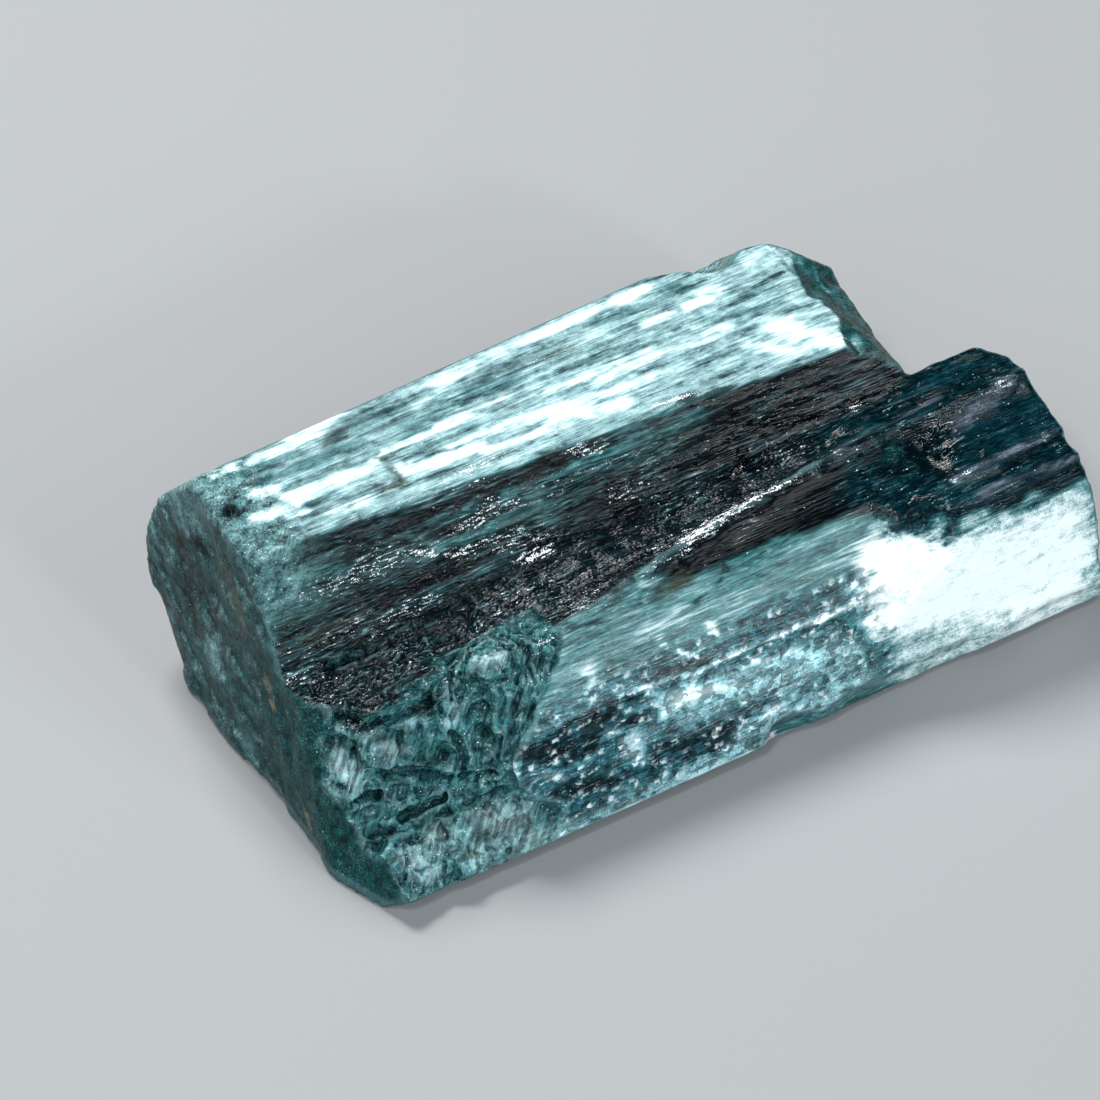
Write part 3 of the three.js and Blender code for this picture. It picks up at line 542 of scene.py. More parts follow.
# what a white, dark or glinting mark raises, and what it lowers
raised = {"ice": ("white", "dark"), "void": ("dark", "white"), "glint": ("sparkle", "dark")}
# dark marks lay dark voids and, in grooves and over the lean face's right part, painted shade; glint marks
# lay painted glints
marks = [
    # top: its ice marks are partly white veils, partly painted light
    ("teal", (1, -0.6), (3.9, -0.7), 0.13, 0.8),
    ("teal", (2.2, -1.3), (6, -1.4), 0.16, 0.8),
    ("teal", (1.9, -3.1), (4.2, -3.1), 0.12, 0.8),
    ("deep", (0.9, -1.2), (2.6, -1.3), 0.11, 0.8),
    ("deep", (2.4, -3.6), (4.4, -3.8), 0.11, 0.9),
    ("teal", (4.6, -1.9), (8.6, -2), 0.1, 0.7),
    ("deep", (6.2, -1.1), (8.4, -1.1), 0.09, 0.7),
    ("teal", (7.3, -2.8), (9.9, -2.7), 0.1, 0.7),
    ("teal", (13.2, -1.9), (16.5, -2), 0.1, 0.6),
    ("teal", (16, -0.4), (18.4, -0.6), 0.14, 0.6),
    ("teal", (19.6, -2.3), (22.3, -2.9), 0.16, 0.7),
    ("ice", (9.8, -0.2), (13, 0), 0.2, 0.5),
    ("ice", (12.8, -2.6), (17, -2.5), 0.12, 0.6),
    ("ice", (11.6, -3.4), (16.4, -3.7), 0.16, 0.7),
    ("ice", (9.6, -4), (12, -4.2), 0.12, 0.7),
    ("ice", (0, 0.3, 8.8), (0.9, -0.2), 0.23, 0.5),
    ("ice", (1.4, -0.3), (1.8, -0.2), 0.17, 0.5),
    ("ice", (2.5, -0.2), (3.8, -0.3), 0.17, 0.6),
    ("ice", (4.1, -0.1), (6.1, 0.1), 0.23, 0.9),
    ("void", (1.7, -0.9), (4.5, -0.8), 0.06, 0.7),
    ("ice", (1.6, -1.7), (2.5, -1.9), 0.2, 0.7),
    ("ice", (1.7, -2.8), (2.9, -2.9), 0.17, 0.6),
    ("teal", (3.6, -1.8), (4.7, -1.8), 0.21, 0.6),
    ("ice", (2.6, -2.5), (4.8, -2.6), 0.17, 0.7),
    ("ice", (4.8, -2.6, 9.4), (6.3, -2.5), 0.17, 0.8),
    ("olive", (6.5, -2.2), (6.4, -3.1), 0.09, 1.2),
    ("olive", (6.4, -3.1), (6.3, -4), 0.11, 1.2),
    ("olive", (6.3, -3.9), (5.7, -3.8), 0.09, 1.1),
    ("deep", (5.1, -0.9), (6.1, -0.3), 0.29, 0.8),
    ("void", (7.6, -0.5), (7.6, -0.9), 0.12, 0.7),
    ("teal", (6.4, -0.6), (8.1, -0.7), 0.21, 0.6),
    ("deep", (3.2, -3.2), (4.3, -3.5), 0.13, 0.9),
    ("deep", (4.1, -3.8), (5.6, -3.6), 0.1, 0.8),
    ("ice", (1.4, -2.8), (2.8, -3.4), 0.17, 0.6),
    ("ice", (3.6, -3.8), (5.1, -3.9), 0.13, 0.7),
    ("ice", (6.6, -3.3), (7.7, -3.5), 0.21, 0.9),
    ("ice", (8, -3.5), (9.6, -3.6, 9.4), 0.21, 0.8),
    ("ice", (6.6, -2.2), (10.5, -2.3), 0.08, 0.9),
    ("ice", (8.9, -2.1), (11.3, -2), 0.1, 0.7),
    ("void", (6.9, -3, 9.4), (9.7, -3.3), 0.08, 0.6),
    ("teal", (7.7, -1.6, 9.4), (9.2, -1.5), 0.21, 0.6),
    ("deep", (10.8, -0.9, 9.4), (12.8, -0.9, 9.4), 0.33, 0.7),
    ("teal", (9.5, -1, 9.4), (12.4, -1.6), 0.25, 0.5),
    ("ice", (13.5, 0.1), (16.7, 0.2), 0.15, 0.8),
    ("olive", (13.3, -0.9, 9.4), (14.7, -1.1), 0.23, 0.5),
    ("glint", (13.3, -0.9, 9.4), (14.7, -1.1), 0.23, 0.6),
    ("ice", (17.2, 0.2), (18, 0.1), 0.17, 1),
    ("ice", (18.2, 0.2), (18.7, 0.1), 0.13, 0.8),
    ("ice", (17.5, -1.3), (18.5, -1.3), 0.13, 0.8),
    ("ice", (19.2, -1.4), (20, -1.4), 0.15, 1),
    ("teal", (18.9, 0), (19.9, -0.6), 0.25, 0.7),
    ("void", (18.9, -0.3), (19.6, -0.4), 0.12, 0.5),
    ("ice", (19.9, -0.8), (20.7, -1.2), 0.13, 0.6),
    ("ice", (14.8, -2.9, 9.4), (19.9, -3), 0.17, 0.6),
    ("void", (15.2, -2.3), (18.8, -2.4), 0.06, 0.8),
    ("void", (22, -1.7), (23.2, -1.6), 0.08, 1),
    ("ice", (21.4, -3.9), (22.7, -5.4), 0.34, 0.8),
    ("ice", (20.2, -4.2), (21.5, -5.4), 0.2, 0.65),
    ("ice", (12.4, -3.9), (14.8, -4.4), 0.25, 0.8),
    ("ice", (8.7, -3.1), (13, -3.3), 0.1, 0.8),
    ("teal", (21.1, -2.1), (22.1, -1.8), 0.17, 0.6),
    ("ice", (22.4, -0.5), (23.5, -0.3, 9.4), 0.15, 0.7),
    ("olive", (18.4, -5), (19.1, -5.1), 0.06, 0.6),
    # painted glints along the edge between the top and the lean face
    ("glint", (8, -4.4), (12.1, -4.7), 0.12, 0.9),
    ("glint", (12.3, -4.5), (21.1, -5.9), 0.1, 1),
    ("void", (16.9, -5.5), (19.5, -5.9, 9.4), 0.08, 1),
    # lean: its glints are painted glints; its black patches on the right and in its groove are painted shade
    ("void", (2.8, -5.1, 8.6), (3.5, -5.1, 8.6), 0.15, 1),
    ("void", (4.8, -5.1, 8.5), (6.3, -5.2, 8.8), 0.13, 1),
    ("void", (3.6, -5.2, 8.5), (4.4, -5.2, 8.5), 0.06, 0.9),
    ("glint", (4.2, -4.6), (5.2, -4.8, 9.4), 0.17, 1),
    ("glint", (5.5, -4.7), (6.2, -4.7), 0.15, 0.9),
    ("glint", (2.6, -4.4), (3.4, -4.8, 9.2), 0.15, 0.7),
    ("glint", (0.5, -4.4, 9.4), (0.9, -4.4), 0.15, 1),
    ("glint", (5.9, -5.7, 7.9), (6.4, -5.8, 7.8), 0.15, 0.9),
    ("glint", (6.6, -6, 7.5), (8.1, -6.1, 7.5), 0.08, 0.9),
    ("glint", (6.5, -6.2, 7.1), (6.9, -6.2, 7.2), 0.12, 0.9),
    ("glint", (0.4, -5.8, 7), (3.8, -6.1, 6.9), 0.08, 1),
    ("void", (4, -6.2, 6.8), (8.7, -6.3, 7.2), 0.08, 1),
    ("glint", (8.7, -6.6, 6.6), (10.3, -7, 6.8), 0.17, 0.9),
    ("olive", (1.1, -6.2, 6.6), (3.6, -6.2, 6.7), 0.15, 0.9),
    ("haze", (1.6, -5.5, 7.8), (2.7, -5.2, 8.1), 0.65, 0.5),
    ("haze", (4.5, -5.5, 8.1), (6, -5.6, 8.1), 0.5, 0.5),
    ("haze", (8.1, -6, 8), (9.9, -5.8, 8.3), 0.5, 0.4),
    ("haze", (10.5, -6.1, 8.1), (10.9, -6.2, 7.7), 0.35, 0.8),
    ("haze", (14.1, -5.7, 9), (16.5, -6.1, 8.7), 0.65, 0.5),
    ("void", (9.4, -5.2, 9.2), (11.6, -5.5, 9), 0.27, 0.5),
    ("void", (17, -5.6), (20.6, -6.2, 9), 0.29, 0.9),
    ("void", (16.8, -6.3, 8.3), (20.6, -6.7, 8), 0.5, 0.8),
    ("void", (13.3, -6.7, 7.1), (18.8, -7.1, 7.3), 0.31, 0.7),
    ("deep", (4.9, -6.4, 6.6), (6.2, -6.5, 6.6), 0.19, 0.9),
    ("glint", (5.3, -7.1, 6.1), (5.8, -6.9, 6.1), 0.15, 1),
    ("glint", (12.4, -5.5, 9.1), (13.4, -5.6, 9.1), 0.12, 0.7),
    ("glint", (14.1, -6.9, 7.1), (14.6, -6.9, 7.1), 0.08, 0.6),
    # shoulder: the dark marks in its grooves are painted shade; its sheen, pale, haze and ice marks and its
    # glints are painted highlights on facets
    ("void", (1.5, -6.7, 5.7), (3.2, -7.1, 5.8), 0.1, 1),
    ("void", (1.9, -6.5, 6.1), (3, -6.6, 6), 0.08, 0.8),
    ("glint", (1.5, -7.1, 5.5), (2.4, -7, 5.7), 0.08, 1),
    ("glint", (2.3, -7, 5.7), (3.3, -7.2, 5.8), 0.08, 0.9),
    ("deep", (0.6, -6.5, 5.8), (1.3, -6.5, 6), 0.25, 1),
    ("void", (0.8, -8.4, 5.7), (2.8, -9.4, 6), 0.35, 0.8),
    ("smoke", (2.3, -6.4, 6.2), (6.4, -7.6, 6.1), 0.58, 0.8),
    ("smoke", (1.5, -8.2, 5.7), (4.6, -8.7, 6), 0.65, 0.9),
    ("teal", (3.3, -9.6, 6), (4.5, -9.9, 6.1), 0.33, 0.8),
    ("glint", (4.8, -9.8, 6.1), (4.8, -10, 5.9), 0.12, 1),
    ("pale", (4.5, -10.2, 5.8), (4.4, -10.7, 4.8), 0.21, 0.9),
    ("haze", (0.7, -9.5, 4.6), (0.1, -10.2, 3.4), 0.29, 0.9),
    ("pale", (1.4, -10.2, 5), (2.1, -10.5, 4.2), 0.25, 0.8),
    ("olive", (1.5, -10.9, 3), (3.1, -11.1, 3.5), 0.15, 0.9),
    ("void", (-0.1, -10.2, 2.6), (1.1, -10.7, 3), 0.08, 1),
    ("void", (2, -11.4, 2.3), (3.2, -11.7, 2.8), 0.12, 1),
    ("void", (0.7, -11.4, 2.1), (1.5, -11.8, 2.2), 0.15, 0.9),
    ("void", (1.2, -12.3, 2.1), (2, -12.3, 2), 0.15, 0.9),
    ("pale", (1.7, -12.6, 1.8), (1.6, -13.2, 1.2), 0.23, 0.9),
    ("pale", (2.4, -12.3, 2), (2.9, -12.8, 1.8), 0.21, 0.6),
    ("glint", (2, -10.3, 4.7), (2.2, -10.3, 4.8), 0.13, 1),
    ("glint", (4.8, -11.6, 4.3), (4.9, -12.3, 4.1), 0.15, 1),
    ("glint", (6, -8.9, 6.1), (6.5, -8.9, 6.2), 0.13, 1),
    ("glint", (6.2, -9.8, 6.3), (6.4, -9.8, 6.4), 0.12, 1),
    ("glint", (5.5, -10.4, 6.3), (6.1, -10.5, 6.4), 0.1, 0.8),
    ("void", (3.9, -10.3, 5.6), (3.7, -10.8, 4.4), 0.21, 0.6),
    ("void", (5.2, -10.5, 5.7), (4.9, -11.5, 4.4), 0.17, 0.6),
    ("sheen", (0.3, -9.7, 4.2), (0.5, -10, 3.5), 0.36, 0.9),
    ("sheen", (1.6, -10.2, 4.9), (2, -10.4, 4.4), 0.26, 0.8),
    ("sheen", (4.6, -10.3, 5.7), (4.5, -10.6, 5), 0.24, 1.1),
    ("ice", (4.6, -10.3, 5.8), (4.6, -10.4, 5.5), 0.1, 0.9),
    ("sheen", (1.5, -12.8, 1.7), (2, -13.1, 1.3), 0.34, 0.8),
    ("sheen", (2.5, -12.4, 2.1), (2.9, -12.7, 1.7), 0.28, 0.7),
    ("sheen", (4.2, -13, 2.2), (5.4, -13.3, 1.9), 0.42, 0.7),
    ("sheen", (3.4, -13.4, 1.3), (5.6, -13.7, 1.1), 0.3, 0.6),
    ("sheen", (5.8, -10.1, 6.6), (6.3, -10.2, 6.6), 0.2, 0.9),
    ("ice", (5.7, -9.9, 6.7), (6, -9.9, 6.7), 0.1, 0.9),
    ("sheen", (2.9, -10.2, 5.2), (3.4, -10.3, 4.9), 0.15, 0.6),
    ("smoke", (6.9, -9, 6.3), (7.6, -10.6, 6.4), 0.35, 0.6),
    # front
    ("pale", (12, -12.9, 3.5), (18.6, -13.2, 2.9), 0.75, 0.8),
    ("ice", (9.2, -11.4, 5.5), (9.2, -11.7, 5.2), 0.12, 0.8),
    ("ice", (12.1, -11.4, 5.5), (12.1, -11.6, 5.3), 0.1, 0.8),
    ("ice", (12.6, -11.9, 5), (12.8, -12.1, 4.8), 0.13, 0.8),
    ("ice", (13.9, -11.6, 5.3), (14.1, -11.8, 5.1), 0.13, 0.9),
    ("void", (11.5, -12.2, 4.7), (13.1, -12.3, 4.6), 0.13, 1),
    ("ice", (10.5, -12.3, 4.6), (13.2, -12.5, 4.3), 0.06, 0.9),
    ("ice", (13.2, -12.5, 4.4), (16.1, -12.4, 4.4), 0.06, 0.9),
    ("ice", (16.1, -12.4, 4.4), (19.3, -12.5, 4.3), 0.12, 1),
    ("olive", (12.7, -10.3, 6.5), (13.8, -10.3, 6.5), 0.21, 0.9),
    ("void", (15.3, -10.3, 6.3), (14.8, -10.8, 6.1), 0.08, 1),
    ("void", (14.7, -10.8, 6.1), (13.7, -11, 5.9), 0.06, 0.9),
    ("ice", (11.3, -12.7, 3.9), (14.2, -12.9, 3.2), 0.34, 0.5),
    ("ice", (10.8, -12.9, 3.3), (12.1, -12.8, 3.6), 0.25, 0.5),
    ("ice", (12.5, -12.7, 3.8), (14, -12.9, 3.5), 0.21, 0.55),
    ("ice", (9.7, -13, 2.9), (10.5, -13.3, 2.3), 0.25, 0.5),
    ("ice", (8.9, -12.7, 3.8), (10.3, -13, 3), 0.21, 0.5),
    ("ice", (5.3, -12.6, 4), (5.5, -12.8, 3.5), 0.12, 0.9),
    ("ice", (9, -13.4, 2.1), (9.4, -13.5, 1.7), 0.19, 0.8),
    ("ice", (6.4, -12.9, 3.2), (7.1, -13.1, 2.7), 0.15, 0.5),
    ("void", (7, -12.7, 3.8), (8.6, -12.6, 4), 0.42, 0.8),
    ("void", (9, -12.4, 4.4), (10.8, -12.8, 3.5), 0.27, 0.7),
    ("void", (10.7, -13.4, 2.1), (14, -13.4, 2), 0.23, 0.9),
    ("void", (7, -13.2, 2.4), (10, -13.5, 1.7), 0.17, 0.8),
    ("void", (5.9, -12.5, 4.2), (6.7, -12.8, 3.6), 0.21, 0.8),
    ("ice", (15.1, -12.6, 4.1), (15.8, -12.9, 3.4), 0.12, 1),
    ("ice", (16.6, -12.8, 3.5), (17.3, -13, 3), 0.23, 1),
    ("teal", (19.2, -12.8, 3.5), (19.5, -13.4, 2.5), 0.31, 1),
    ("teal", (18.5, -13.4, 1.8), (19.6, -13.5, 1.9), 0.21, 0.8),
    # painted light: the blown white patch at the front's right
    ("ice", (21, -12.1, 4.8), (27, -13.5, 1.9), 0.96, 1),
    ("ice", (20.1, -12.9, 3.5), (23.2, -13.3, 3.1), 0.5, 1),
    ("ice", (15.3, -13.4, 1.9), (16.1, -13.4, 1.8), 0.17, 1),
    ("ice", (14.6, -13.8, 1), (15.6, -13.3, 0.5), 0.13, 1),
    ("ice", (20.9, -11.9, 5), (27.5, -13.1, 4.2), 0.55, 1),
    ("ice", (22, -13, 3.6), (27.8, -13.3, 2.8), 0.6, 1),
    ("pale", (5.6, -13.8, 1), (14.6, -13.8, 0.95), 0.25, 0.9),
    ("ice", (7.5, -13.85, 0.8), (14.4, -13.85, 0.8), 0.07, 0.8),
    ("pale", (13.9, -13.55, 1.5), (19.6, -13.5, 1.4), 0.35, 0.9),
    ("ice", (14.9, -13.45, 1.8), (16.4, -13.3, 2.1), 0.1, 0.8),
    ("sheen", (15, -12.9, 3.2), (18.5, -13.1, 2.8), 0.45, 0.6),
    # the dark top at the right and the pale ribs on it, whose lilac lines and glints are painted glints
    ("glint", (26.1, -9.2, 7.4), (27.7, -8.9, 7.7), 0.22, 1.1),
    ("lilac", (25.4, -9.4, 7.3), (27.8, -8.9, 7.8), 0.2, 0.9),
    ("lilac", (24.2, -11.2, 6.9), (28.6, -11, 6.9), 0.12, 0.9),
    ("glint", (24.2, -11.2, 6.9), (28.6, -11, 6.9), 0.1, 0.9),
    ("lilac", (22.8, -9.9, 7.1), (24.6, -9.8, 7.2), 0.1, 0.8),
    ("lilac", (24.6, -12, 6.6), (28.4, -12.2, 6.5), 0.1, 0.8),
    ("lilac", (21, -8.6, 7.6), (25.5, -8.2, 7.7), 0.12, 0.8),
    ("void", (22.4, -9, 7.3), (24, -9.6, 6.9), 0.6, 0.7),
    ("bottle", (22.6, -8.4, 7.4), (23, -9.4, 7.2), 0.3, 0.9),
    # left end
    ("olive", (-0.2, 0.3, 6.3), (-0.1, -0.5, 5.6), 0.3, 0.8),
    ("olive", (-0.2, -0.6, 4.4), (-0.3, -0.8, 3.4), 0.25, 0.6),
    ("tan", (0, -1.2, 8.9), (-0.1, -3.6, 7), 0.3, 0.55),
    ("tan", (-0.1, -3.7, 6.8), (-0.1, -4.2, 6.2), 0.25, 0.7),
    ("sand", (-0.1, -5.5, 4.7), (-0.2, -6, 3.9), 0.14, 1),
    ("sand", (-0.4, -8.8, 1.2), (-0.5, -9, 0.8), 0.14, 1),
    ("sand", (-0.1, -3.8, 7), (-0.1, -4.1, 6.5), 0.08, 0.9),
    ("void", (-0.1, -0.2, 8), (-0.1, -1.2, 7.4), 0.14, 0.8),
    ("void", (-0.1, 0.6, 6.4), (-0.1, -1, 6.6), 0.12, 0.8),
    ("void", (-0.1, -1.8, 6.4), (-0.1, -2.2, 5.2), 0.12, 0.7),
    ("deep", (-0.2, -0.2, 5.6), (-0.2, -1.6, 6), 0.5, 0.6),
    ("pale", (-0.3, -2.1, 3.6), (-0.4, -2.4, 2.8), 0.35, 0.7),
    ("pale", (-0.4, -4.5, 1), (-0.4, -4.8, 0.6), 0.3, 0.6),
    ("pale", (-0.1, 0.4, 8), (-0.1, -0.8, 8.6), 0.6, 0.5),
    ("void", (-0.1, 0.5, 6.8), (-0.2, -0.6, 3.6), 0.15, 0.8),
    ("void", (-0.1, -0.1, 7), (-0.1, -1.4, 7.2), 0.2, 0.7),
    ("void", (-0.2, -1.4, 5.2), (-0.3, -1.8, 4), 0.25, 0.6),
    # pit at the top's left corner
    ("deep", (0.72, -1.9, 9.4), (0.72, -2.1, 9.4), 0.3, 1),
    ("void", (0.72, -1.9, 9.4), (0.72, -2.1, 9.4), 0.22, 0.9),
    # painted glints along the ridge of the rough crest
    ("glint", (7.8, -10.5, 6.4), (10.5, -10, 7), 0.17, 1),
    ("glint", (10.5, -10, 7), (12.2, -9.8, 7.1), 0.15, 0.8),
    ("glint", (12.2, -9.8, 7.2), (15, -9.2, 7.3), 0.13, 1),
    ("glint", (13.9, -9.7, 7.1), (16.8, -8.9, 7.4), 0.13, 1),
    ("glint", (17.2, -8.4, 7), (19.4, -8.6, 7.5), 0.15, 1),
    ("glint", (19.4, -8.6, 7.5), (20.6, -8.7, 7.6), 0.15, 1),
    ("glint", (15.4, -8.6, 6.9), (17, -8.2, 6.9), 0.1, 1),
    ("glint", (22.5, -7.1, 7.6), (23, -7.1, 7.7), 0.13, 0.9),
]


def writeField(thing, name, values):
    kind = "FLOAT_COLOR" if values.ndim == 2 else "FLOAT"
    field = thing.data.attributes.new(name, kind, "POINT")
    field.data.foreach_set("color" if values.ndim == 2 else "value", np.asarray(values, float).ravel())


# How near each place is to the line from one end to the other: 1 on it, 0 past its width.
def nearness(p, start, end, width):
    start, run = np.array(start), np.array(end) - np.array(start)
    t = np.clip((p - start) @ run / (run @ run), 0, 1)
    return ease(np.linalg.norm(p - start - t[:, None] * run, axis=1), width * 2.4, width * 0.2)


flakeSettings = {
    "perCubicMm": 3.5, "stretch": (0.8, 1.0, 1.3), "waver": 0.25,
    "shade": (0.45, 1.3), "grey": (1.2, 0.95, 0.9), "seed": 23,
}


# Every flake of a break has its own shade: the break is shared out between scattered points.
def shadeFlakes(p, hackle):
    s = flakeSettings
    chance = np.random.default_rng(s["seed"])
    inside = np.nonzero(hackle > 0.05)[0]
    waver = np.stack([grain(p[inside], (0.7, 0.7, 0.7), k) for k in (70, 71, 72)], 1)
    where = (p[inside] + s["waver"] * waver) * np.array(s["stretch"])
    low, high = where.min(0) - 0.5, where.max(0) + 0.5
    count = int(s["perCubicMm"] * np.prod(high - low))
    spots, shades = chance.uniform(low, high, (count, 3)), chance.uniform(*s["shade"], (count, 1))
    shades = shades * (1 + (np.array(s["grey"]) - 1) * chance.uniform(0, 1, (count, 1)))
    tree = KDTree(count)
    for i, spot in enumerate(spots):
        tree.insert(spot, i)
    tree.balance()
    shade = np.ones((len(p), 3))
    shade[inside] = [shades[tree.find(place)[1]] for place in where]
    return 1 + (shade - 1) * hackle[:, None]


def colourCrystal(thing):
    p, n = readPlaces(thing), readNormals(thing)
    zones = readZones(p, n)
    # painted shade and highlight: hollows get darker and ridges lighter by how far each point lies below the
    # points around it
    hollowShading = readHollows(thing, 2) * 9 + readHollows(thing, 12) * 10
    tone = np.tile(palette[finishes["rest"][0]], (len(p), 1))
    levels = {name: np.full(len(p), finishes["rest"][i], float) for i, name in enumerate(measures, 1)}
    for zone, (colour, *amounts) in finishes.items():
        if zone == "rest":
            continue
        w = zones[zone]
        tone += (np.array(palette[colour]) - tone) * w[:, None]
        for name, amount in zip(measures, amounts):
            levels[name] += (amount - levels[name]) * w
    # painted shade: the lean face darkens to black towards the right and loses its strokes
    leanShade = zones["lean"] * ease(p[:, 0], 12.5, 17)
    tone += (np.array(palette["black"]) - tone) * 0.75 * leanShade[:, None]
    levels["sparkle"] *= 1 - 0.8 * leanShade
    aside = [0.07 * grain(p, (1.2, 0.25, 0.25), k) for k in (41, 42)]
    ragged = p + np.stack([0.25 * grain(p, (0.8, 0.3, 0.3), 40), *aside], 1)
    mottled = 0.85 + 0.5 * grain(p, (0.5, 0.3, 0.3), 44) + 0.25 * grain(p, (0.2, 0.15, 0.15), 45)
    mottled = np.clip(mottled, 0, 1)
    for kind, start, end, width, amount in marks:
        start, end = ((*spot, topHeight)[:3] for spot in (start, end))
        w = np.minimum(nearness(ragged, start, end, width) * amount * mottled, 1)
        if kind in raised:
            field, other = raised[kind]
            levels[field] += (fullMark - levels[field]) * w
            levels[other] *= 1 - w
        else:
            tone += (np.array(palette[kind]) - tone) * w[:, None]
            levels["white"] *= 1 - 0.8 * w
            levels["dark"] *= 1 - 0.5 * w
    tone[:, :3] *= shadeFlakes(p, levels["hackle"])
    # how strong the painted hollow shade and ridge highlight are
    gain = 0.25 + 0.25 * zones["shoulder"] - 0.15 * zones["top"] - 0.2 * zones["rightTop"]
    writeField(thing, "hollowShading", np.clip(hollowShading * gain + 0.5, 0, 1))
    writeField(thing, "tone", tone)
    for name, values in levels.items():
        writeField(thing, name, values)


colourCrystal(crystal)
writePlaces(crystal, (readPlaces(crystal) - np.array(shapeSettings["corner"])) / 1000)
pickOnly(crystal)
bpy.ops.object.shade_smooth()
print("colours laid")

# ---- materials ----


# One output of a node, so that shader maths reads as maths.
class Wire:
    def __init__(self, bench, socket):
        self.bench, self.socket = bench, socket

    # Another output of the same node.
    def beside(self, name):
        return Wire(self.bench, self.socket.node.outputs[name])

    def isVector(self):
        return self.socket.type in ("VECTOR", "RGBA")

    def worked(self, operation, first, second):
        pair = (first, second)
        many = any(isinstance(t, (tuple, Vector)) or isinstance(t, Wire) and t.isVector() for t in pair)
        kind = "ShaderNodeVectorMath" if many else "ShaderNodeMath"
        if many:
            first, second = (t if isinstance(t, (Wire, tuple)) else (t, t, t) for t in pair)
        return self.bench.make(kind, {"operation": operation}, {0: first, 1: second})

    def __add__(self, other):
        return self.worked("ADD", self, other)

    def __radd__(self, other):
        return self.worked("ADD", other, self)

    def __sub__(self, other):
        return self.worked("SUBTRACT", self, other)

    def __rsub__(self, other):
        return self.worked("SUBTRACT", other, self)

    def __mul__(self, other):
        return self.worked("MULTIPLY", self, other)

    def __rmul__(self, other):
        return self.worked("MULTIPLY", other, self)


# A material's node tree as a work bench: every node comes from make.
class Bench:
    def __init__(self, name):
        self.material = bpy.data.materials.new(name)
        self.material.use_nodes = True
        self.tree = self.material.node_tree
        self.tree.nodes.clear()

    def make(self, kind, settings=None, values=None, output=0):
        node = self.tree.nodes.new(kind)
        for name, value in (settings or {}).items():
            setattr(node, name, value)
        for key, value in (values or {}).items():
            if isinstance(value, Wire):
                self.tree.links.new(value.socket, node.inputs[key])
            else:
                node.inputs[key].default_value = value
        return Wire(self, node.outputs[output]) if len(node.outputs) else None

    def field(self, name, output="Fac"):
        return self.make("ShaderNodeAttribute", {"attribute_name": name}, output=output)

    def step(self, value, low, high, bottom=0.0, top=1.0):
        values = {"Value": value, "From Min": low, "From Max": high, "To Min": bottom, "To Max": top}
        return self.make("ShaderNodeMapRange", {"interpolation_type": "SMOOTHSTEP"}, values)

    def blend(self, first, second, share):
        values = {"Factor": share, 6: first, 7: second}
        return self.make("ShaderNodeMix", {"data_type": "RGBA"}, values, output=2)

    def between(self, first, second, share):
        return self.make("ShaderNodeMix", {"data_type": "FLOAT"}, {"Factor": share, 2: first, 3: second})

    def dot(self, first, second):
        values = {0: first, 1: second}
        return self.make("ShaderNodeVectorMath", {"operation": "DOT_PRODUCT"}, values, output="Value")

    def noise(self, place, stretch, scale, detail=2.0, rough=0.5, shift=(0, 0, 0)):
        where = place * tuple(stretch) + tuple(shift)
        values = {"Vector": where, "Scale": scale, "Detail": detail, "Roughness": rough}
        return self.make("ShaderNodeTexNoise", {}, values)


beryl = {
    "ior": 1.577,
    "absorption": (0.25, 0.716, 0.741, 1),
    "density": 400,  # ten millimetres leave a twentieth of red, a third of blue
    "clearTint": (0.93, 0.99, 1.0, 1),
    "veilShine": 0.12,
    "reliefDepth": 0.00008,
}


